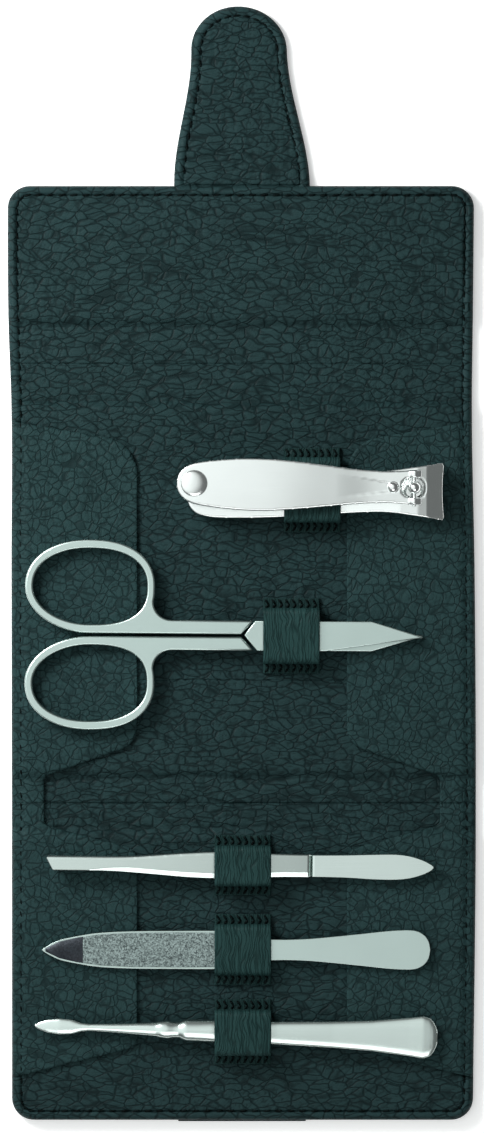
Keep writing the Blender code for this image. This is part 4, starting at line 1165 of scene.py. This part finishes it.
def lever_levels(plan):
    """Levels of the lever: a long arch, a raised tongue behind the stud, and rolled prongs."""
    x, y = plan[:, 0], plan[:, 1]
    rise = np.array([through(place / mm, lever_rise) for place in x]) * mm
    bottom = lever_bottom_level + rise
    tongue_half = on_line(x, ((tongue_start, 2.9 * mm), (-5.5 * mm, 1.1 * mm)))
    tongue = smooth_step((tongue_half - np.abs(y)) / (0.30 * mm))
    tongue = tongue * smooth_step((x - tongue_start) / (13 * mm))
    top = bottom + lever_thickness - 0.18 * mm * tongue * smooth_step((-3.4 * mm - x) / mm)
    top = top - 0.10 * mm * (y / (5.8 * mm)) ** 2
    reach = np.clip(np.abs(x) / eye_radius, 0, 1)
    eye = eye_radius * np.sqrt(1 - reach ** 2)
    on_eye = (np.abs(y) > slot_half - 0.4 * mm) & (np.abs(x) < eye_radius)
    top = np.where(on_eye, np.maximum(top, post_place.z + eye), top)
    bottom = np.where(on_eye, np.minimum(bottom, post_place.z - eye), bottom)
    return top, bottom


lever_place = Vector((post_place.x, post_place.y + post_lean, 0))
shape = shaped_sheet(Outline(lever_outline()), 0.30 * mm, 0.32 * mm, lever_levels)
in_frame(shape, lever_place, lever_yaw)
fit(make_piece("clipper_lever_arm", shape, polished_steel), "lever", "clipper_lever")


def turned(name, profile, centre, material):
    """Turned piece round an upright axis, from its outline given as radius and height."""
    shape = bmesh.new()
    verts = [shape.verts.new((radius, 0, z)) for radius, z in profile]
    edges = [shape.edges.new(pair) for pair in zip(verts, verts[1:])]
    bmesh.ops.spin(shape, geom=verts + edges, cent=(0, 0, 0), axis=(0, 0, 1), angle=2 * math.pi, steps=48,
                   use_merge=True)
    bmesh.ops.remove_doubles(shape, verts=shape.verts, dist=weld_reach)
    bmesh.ops.recalc_face_normals(shape, faces=shape.faces)
    in_frame(shape, centre)
    return make_piece(name, shape, material, sharp=50)


def on_lever(x):
    """Place on the middle line of the lever, at a distance from the post."""
    top, _ = lever_levels(np.array([[x, 0.0]]))
    offset = Matrix.Rotation(lever_yaw, 4, "Z") @ Vector((x, 0, 0))
    return Vector((lever_place.x + offset.x, lever_place.y + offset.y, float(top[0])))


def dome(radius, height, rim_height, sink=0.5 * mm):
    """Outline of a cushion-shaped cap with a small straight rim, sunk a little into the lever."""
    outline = [(0, height)]
    for turn in np.linspace(math.pi / 2, 0, 16)[1:]:
        rise = rim_height + (height - rim_height) * math.sin(turn)
        outline.append((radius * math.cos(turn) ** 0.9, rise))
    return outline + [(radius, 0), (radius * 0.94, -sink), (0, -sink)]


thumb_cap_outline = dome(3.0 * mm, 1.0 * mm, 0.35 * mm)
thumb_cap = turned("clipper_thumb_cap", thumb_cap_outline, on_lever(-49.7 * mm), polished_steel)
fit(thumb_cap, "lever", "clipper_thumb_dome")
button_outline = dome(1.35 * mm, 1.25 * mm, 0.1 * mm)
button = turned("clipper_lever_button", button_outline, on_lever(-4.8 * mm), mirror_steel)
fit(button, "lever", "clipper_lever_stud")

# Post: ball head, neck, shaft and foot
ball_radius = 1.45 * mm
neck_radius = 1.05 * mm
shaft_radius = 1.3 * mm
foot_radius = 2.2 * mm
post_top = high("clipper_post").z
post_bottom = low("clipper_post").z
ball_centre = post_top - ball_radius
post_profile = [(0, post_top)]
for turn in np.linspace(math.pi / 2, math.radians(-42), 22)[1:]:
    post_profile.append((ball_radius * math.cos(turn), ball_centre + ball_radius * math.sin(turn)))
post_profile += [(neck_radius, post_place.z + 0.4 * mm), (neck_radius, post_place.z - 0.9 * mm),
                 (shaft_radius, post_place.z - 1.1 * mm), (shaft_radius, post_bottom + 0.9 * mm),
                 (foot_radius - 0.1 * mm, post_bottom + 0.9 * mm), (foot_radius, post_bottom + 0.7 * mm),
                 (foot_radius, post_bottom), (0, post_bottom)]
post = turned("clipper_ball_post", post_profile, (lever_place.x, lever_place.y, 0), mirror_steel)
fit(post, "post", "clipper_post")


# Scissors: two halves, each a ring, a shank and a blade
scissors_place = Vector(joint("scissors_open")["pos_m"])
scissors_low = low("scissors_half_upper").z
scissors_high = high("scissors_half_upper").z
scissors_yaw = math.radians(-0.4)
blade_thickness = 1.4 * mm
blade_rounding = 0.22 * mm
handle_rounding = 0.42 * mm
ring_centre = (-45.7 * mm, 10.95 * mm)
ring_half = (14.7 * mm, 10.6 * mm)
ring_wall = (1.75 * mm, 1.95 * mm)
ring_powers = (2.3, 2.17, 1.98, 2.6)
shank_low, shank_high = 0.28 * mm, 3.4 * mm
fillet_x, fillet_y = -27.0 * mm, 7.5 * mm
screw_hole = 1.5 * mm
blade_back = 3.4 * mm
blade_shoulder = 18.2 * mm
blade_tip = (29.9 * mm, -0.15 * mm)


def ring_point(turn, inward):
    """Point of a ring's outline at an angle in degrees, squarer on some sides than on others."""
    power = 2 / ring_powers[int(turn % 360 // 90)]
    ahead, up = math.cos(math.radians(turn)), math.sin(math.radians(turn))
    x = math.copysign(abs(ahead) ** power, ahead) * (ring_half[0] - inward * ring_wall[0])
    y = math.copysign(abs(up) ** power, up) * (ring_half[1] - inward * ring_wall[1])
    return ring_centre[0] + x, ring_centre[1] + y


def handle_polygons():
    """Plan of a ring and its shank as two polygons that meet at the ring's top and bottom."""
    steps = 36
    left = [ring_point(turn, 0) for turn in np.linspace(90, 270, steps)]
    left += [ring_point(turn, 1) for turn in np.linspace(270, 90, steps)]
    right = [ring_point(turn, 1) for turn in np.linspace(-90, 90, steps)]
    for turn in np.linspace(90, -60, steps):
        x, y = ring_point(turn, 0)
        if turn > 0 or y > fillet_y:
            right.append((x, y))
    fillet_start_x = right[-1][0]
    for angle in np.radians(np.linspace(0, 90, 14)):
        x = fillet_x - (fillet_x - fillet_start_x) * math.cos(angle)
        y = fillet_y - (fillet_y - shank_high) * math.sin(angle)
        right.append((x, y))
    right += [(-8.6 * mm, shank_high), (-11.4 * mm, shank_low), ring_point(270, 0)]
    return left, right


def blade_polygons(corner_x):
    """Plan of a blade as two polygons that meet at the hole of the screw."""
    left = [(0, screw_hole), (0, blade_back), (corner_x + 2.5 * mm, blade_back), (corner_x, 0.15 * mm),
            (corner_x + 2.9 * mm, -blade_back), (0, -blade_back)]
    left += arc((0, 0), screw_hole, 270, 90)
    right = [(0, -screw_hole), (0, -blade_back), (7.6 * mm, -blade_back), blade_tip,
             (blade_shoulder, blade_back), (0, blade_back)]
    right += arc((0, 0), screw_hole, 90, -90)
    return left, right


def build_scissors_half(name, node, body, side, blade_low, corner_x):
    """One half of the scissors. Its ring lies on one side, and its blade on the other."""
    shape = bmesh.new()
    handles = [[(x, side * y) for x, y in polygon] for polygon in handle_polygons()]
    plate(shape, handles, scissors_low, scissors_high, handle_rounding, 5)
    blades = [[(x, -side * y) for x, y in polygon] for polygon in blade_polygons(corner_x)]
    plate(shape, blades, blade_low, blade_low + blade_thickness, blade_rounding, 3)
    in_frame(shape, (scissors_place.x, scissors_place.y, 0), scissors_yaw)
    fit(flatten_caps(make_piece(name, shape, satin_steel)), body, node)


build_scissors_half("scissors_upper_ring_half", "scissors_half_upper", "scissors_upper", 1,
                    scissors_low, -9.2 * mm)
build_scissors_half("scissors_lower_ring_half", "scissors_half_lower", "scissors_lower", -1,
                    scissors_high - blade_thickness, -10.7 * mm)


# Tweezers: two arms, whose edges are given as places and half widths in millimetres
tweezers_yaw = math.radians(-0.7)
tweezers_place = Vector((low("tweezers_lower_arm").x, low("spine_leather").y - 7.9 * mm, 0))
arm_thickness = 1.1 * mm
arm_low = low("tweezers_lower_arm").z
arm_rounding = 0.22 * mm
step_x = 60.0 * mm
upper_arm_end = step_x - 0.15 * mm
upper_edge = in_mm(((0.0, 1.6), (14, 1.6), (20, 1.75), (26, 2.2), (32, 2.65), (38, 2.95), (46, 2.9),
                    (54, 2.6), (60, 2.55), (68, 2.65), (74, 2.85), (79, 2.95), (82.5, 2.6),
                    (85.5, 1.7), (87.5, 0.7), (88.2, 0.1)))
lower_edge = in_mm(((1.7, -1.6), (14, -1.65), (20, -1.95), (26, -2.4), (32, -2.85), (38, -3.05), (46, -2.9),
                    (54, -2.65), (60, -2.65), (68, -2.75), (74, -3.05), (79, -3.1), (82.5, -2.75),
                    (85.5, -1.9), (87.5, -0.9), (88.2, -0.1)))


def tweezers_plan(end_x=None):
    """Plan of the tweezers, or of the part up to an end, walked anticlockwise."""
    above = smooth_outline(upper_edge, 8)
    below = smooth_outline(lower_edge, 8)
    if end_x is not None:
        above = [point for point in above if point[0] < end_x] + [(end_x, 2.55 * mm)]
        below = [point for point in below if point[0] < end_x] + [(end_x, -2.65 * mm)]
    return below + above[::-1]


def upper_arm_levels(plan):
    """Levels of the upper arm, which rises from the weld and has a wide facet along its lower edge."""
    x, y = plan[:, 0], plan[:, 1]
    share = np.clip((step_x - x) / step_x, 0, 1)
    rise = 2.4 * mm * (1.9 * share - 1.15 * share ** 2 + 0.25 * share ** 3)
    bottom = arm_low + arm_thickness + 0.1 * mm + rise
    run = 1.05 * mm * smooth_step((x - 6 * mm) / (14 * mm)) + 0.05 * mm
    wide_facet = np.clip((on_line(x, lower_edge) + run - y) / mm, 0, 1)
    thin_facet = np.clip((y - on_line(x, upper_edge) + 0.4 * mm) / (0.4 * mm), 0, 1)
    return bottom + arm_thickness - 0.42 * mm * wide_facet - 0.15 * mm * thin_facet, bottom


def lower_arm_levels(plan):
    """Levels of the lower arm, which is thick behind the step where the two are welded."""
    behind = smooth_step((plan[:, 0] - step_x) / (0.7 * mm))
    bottom = np.full(len(plan), arm_low)
    thin = bottom + arm_thickness
    thick = bottom + 2 * arm_thickness + 0.15 * mm
    return thin + (thick - thin) * behind, bottom


for name, node, body, plan, levels in (
        ("tweezers_lower_leaf", "tweezers_lower_arm", "tweezers", tweezers_plan(), lower_arm_levels),
        ("tweezers_upper_leaf", "tweezers_upper_arm", "tweezers_arm", tweezers_plan(upper_arm_end),
         upper_arm_levels)):
    shape = shaped_sheet(Outline(plan), 0.26 * mm, arm_rounding, levels)
    in_frame(shape, tweezers_place, tweezers_yaw)
    fit(make_piece(name, shape, tool_steel, sharp=30), body, node)


# Nail file: half widths in millimetres from its point
file_place = Vector((low("file_blank").x, (low("file_blank").y + high("file_blank").y) / 2, 0))
file_low, file_high = low("file_blank").z, high("file_blank").z
file_rounding = 0.22 * mm
file_half_widths = in_mm(((0.0, 0.0), (1.0, 0.75), (4.0, 2.2), (8.0, 3.1), (13.0, 3.85), (20.0, 4.2),
                          (30.0, 4.3), (42.0, 4.25), (45.0, 3.4), (48.0, 2.6), (54.0, 2.3), (60.0, 2.45),
                          (66.0, 2.95), (72.0, 3.55), (77.0, 4.1), (81.0, 4.4), (84.5, 4.35), (86.6, 3.4),
                          (87.7, 1.9), (88.1, 0.0)))
grit_start, grit_end = 9.3 * mm, 43.8 * mm
grit_thickness = 0.2 * mm
grit_roughness = 0.07 * mm
grain_length = 0.35 * mm
tip_start = 0.8 * mm
tip_thickness = 0.03 * mm

file_side = smooth_outline(file_half_widths, 8)
shape = bmesh.new()
plate(shape, [[(x, -y) for x, y in file_side] + file_side[-2:0:-1]], file_low, file_high, file_rounding)
in_frame(shape, file_place)
fit(flatten_caps(make_piece("file_steel_blank", shape, satin_steel)), "file", "file_blank")


def bed_plan(start, end, inset):
    """Plan of a bed on the blank, between two places along it."""
    places = np.linspace(start, end, 60)
    widths = np.maximum(0.03 * mm, on_line(places, file_half_widths) - inset)
    side = list(zip(places, widths))
    return [(x, -width) for x, width in side] + side[::-1]


def grit_levels(level, facing):
    """Levels of the grit on a face of the blank, which faces up or down."""

    def levels(plan):
        rough = noise_field(plan, grain_length, 2.0) * grit_roughness
        outer = level + facing * (grit_thickness + rough)
        face = np.full(len(plan), level)
        return (outer, face) if facing > 0 else (face, outer)

    return levels


for side_name, level, facing in (("upper", file_high, 1), ("lower", file_low, -1)):
    bed = Outline(bed_plan(grit_start, grit_end, 0.35 * mm))
    shape = shaped_sheet(bed, 0.16 * mm, 0.05 * mm, grit_levels(level, facing), rows=1)
    in_frame(shape, file_place)
    grit = make_piece("file_grit_bed_" + side_name, shape, grit_surface)
    fit(grit, "file", "file_grit_" + side_name)
    shape = bmesh.new()
    tip_levels = sorted((level, level + facing * tip_thickness))
    plate(shape, [bed_plan(tip_start, grit_start + 0.1 * mm, 0.3 * mm)], *tip_levels, 0.01 * mm, 1)
    in_frame(shape, file_place)
    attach(make_piece("file_dark_tip_" + side_name, shape, bare_tip), "file")


# Cuticle pusher: shares of its length, and its half width, bottom and top as shares of the largest
pusher_low, pusher_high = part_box("cuticle_pusher")
pusher_yaw = math.radians(-1.7)
pusher_place = Vector((pusher_low.x, low("spine_leather").y - 44.9 * mm, pusher_low.z))
pusher_length = 91.2 * mm
pusher_half = 4.9 * mm
pusher_thickness = pusher_high.z - pusher_low.z
pusher_steps = 240
pusher_sections = (
    (0.0, 0.04, 0.42, 0.50), (0.008, 0.15, 0.40, 0.53), (0.03, 0.30, 0.36, 0.58), (0.06, 0.37, 0.34, 0.63),
    (0.09, 0.34, 0.34, 0.64), (0.115, 0.20, 0.36, 0.65), (0.135, 0.17, 0.30, 0.67), (0.20, 0.22, 0.25, 0.75),
    (0.30, 0.34, 0.13, 0.87), (0.315, 0.40, 0.08, 0.92), (0.328, 0.43, 0.07, 0.93), (0.345, 0.37, 0.10, 0.90),
    (0.358, 0.37, 0.10, 0.90), (0.366, 0.44, 0.02, 0.98), (0.375, 0.50, 0.0, 1.0), (0.44, 0.52, 0.0, 1.0),
    (0.47, 0.52, 0.04, 0.96), (0.52, 0.52, 0.08, 0.92), (0.60, 0.54, 0.14, 0.86), (0.74, 0.62, 0.20, 0.80),
    (0.84, 0.72, 0.22, 0.78), (0.93, 0.90, 0.24, 0.76), (0.965, 0.99, 0.24, 0.76), (0.982, 0.90, 0.26, 0.74),
    (0.993, 0.66, 0.28, 0.72), (1.0, 0.36, 0.36, 0.64))
shares, *pusher_columns = zip(*pusher_sections)
shape = bmesh.new()
rings = []
for step in range(pusher_steps + 1):
    share = step / pusher_steps
    half_width, bottom, top = (float(np.interp(share, shares, column)) for column in pusher_columns)
    ring = bmesh.ops.create_circle(shape, segments=28, radius=1)["verts"]
    power = 1 - 0.35 * smooth_step((share - 0.40) / 0.15)
    for vert in ring:
        across = math.copysign(abs(vert.co.x) ** power, vert.co.x) * half_width * pusher_half
        up = math.copysign(abs(vert.co.y) ** power, vert.co.y)
        level = ((top + bottom) / 2 + up * (top - bottom) / 2) * pusher_thickness
        vert.co = (share * pusher_length, across, level)
    rings.append(ring)
for pair in zip(rings, rings[1:]):
    edges = {edge for ring in pair for vert in ring for edge in vert.link_edges
             if edge.other_vert(vert) in ring}
    bmesh.ops.bridge_loops(shape, edges=list(edges))
for ring in (rings[0], rings[-1]):
    bmesh.ops.contextual_create(shape, geom=ring)
bmesh.ops.recalc_face_normals(shape, faces=shape.faces)
in_frame(shape, pusher_place, pusher_yaw)
pusher = make_piece("cuticle_pusher_bar", shape, tool_steel, sharp=60)
fit(pusher, "pusher", "cuticle_pusher")

# Finishes of the nodes that stay as they are
node_finishes = {
    "flap_board": board, "back_board": board, "front_board": board,
    "tab_magnet": satin_steel, "front_magnet": satin_steel, "closure_patch": outer_leather,
}
for node, piece in frame["nodes"].items():
    piece.data.materials.clear()
    piece.data.materials.append(node_finishes.get(node, polished_steel))

# Floor, light and camera
floor_size = 6.0
floor_drop = 0.4 * mm
photo_height = 1133
photo_scale = 0.227 * mm
photo_middle_y = -0.6 * mm
camera_lens = 180.0
sensor = 36.0


def build_floor():
    """Plain white floor, which shows as white and keeps the shadow of the case."""
    shape = bmesh.new()
    bmesh.ops.create_grid(shape, x_segments=2, y_segments=2, size=floor_size / 2)
    bmesh.ops.translate(shape, verts=shape.verts, vec=(0, 0, -floor_drop))
    material, shader, nodes = new_material("floor_white")
    path = nodes.add("ShaderNodeLightPath").outputs
    nodes.fill(shader, {
        "Base Color": (0.92, 0.92, 0.92, 1),
        "Roughness": 0.8,
        "Emission Color": (0.30, 0.30, 0.30, 1),
        "Emission Strength": nodes.reckon("MAXIMUM", path["Is Camera Ray"], path["Is Glossy Ray"]),
    })
    add_object("floor", finished_mesh("floor", shape, material))


def add_lamp(name, place, aim, size, power):
    """Square soft light that looks at a point."""
    light = bpy.data.lights.new(name, "AREA")
    light.size = size
    light.energy = power
    lamp = add_object(name, light)
    lamp.location = place
    lamp.rotation_euler = (Vector(aim) - Vector(place)).to_track_quat("-Z", "Y").to_euler()


build_floor()
add_lamp("key_light", (-0.24, 0.18, 0.26), (0.01, -0.01, 0), 0.16, 1.75)
add_lamp("fill_light", (0.05, -0.60, 0.60), (0, 0, 0), 0.50, 1.6)

# Studio sky: bright above and to the left, dim to the right and towards the horizon
sky_lean = (-0.50, 0.12, 0.86)
world = bpy.data.worlds.new("studio")
world.use_nodes = True
sky = Nodes(world.node_tree)
direction = sky.add("ShaderNodeTexCoord").outputs["Generated"]
towards = sky.add("ShaderNodeVectorMath", {0: direction, 1: sky_lean}, operation="DOT_PRODUCT")
brightness = sky.span(towards.outputs["Value"], 0.15, 1.12, 0.62, 0.95, interpolation_type="SMOOTHSTEP")
sky.fill(world.node_tree.nodes["Background"], {"Color": (0.96, 1.0, 0.99, 1), "Strength": brightness})
bpy.context.scene.world = world
bpy.context.scene.view_settings.view_transform = "Standard"

camera_data = bpy.data.cameras.new("camera")
camera_data.lens = camera_lens
camera_data.sensor_width = sensor
camera = add_object("camera", camera_data)
camera.location = (0, photo_middle_y, camera_lens / sensor * photo_height * photo_scale + tool_level)
bpy.context.scene.camera = camera
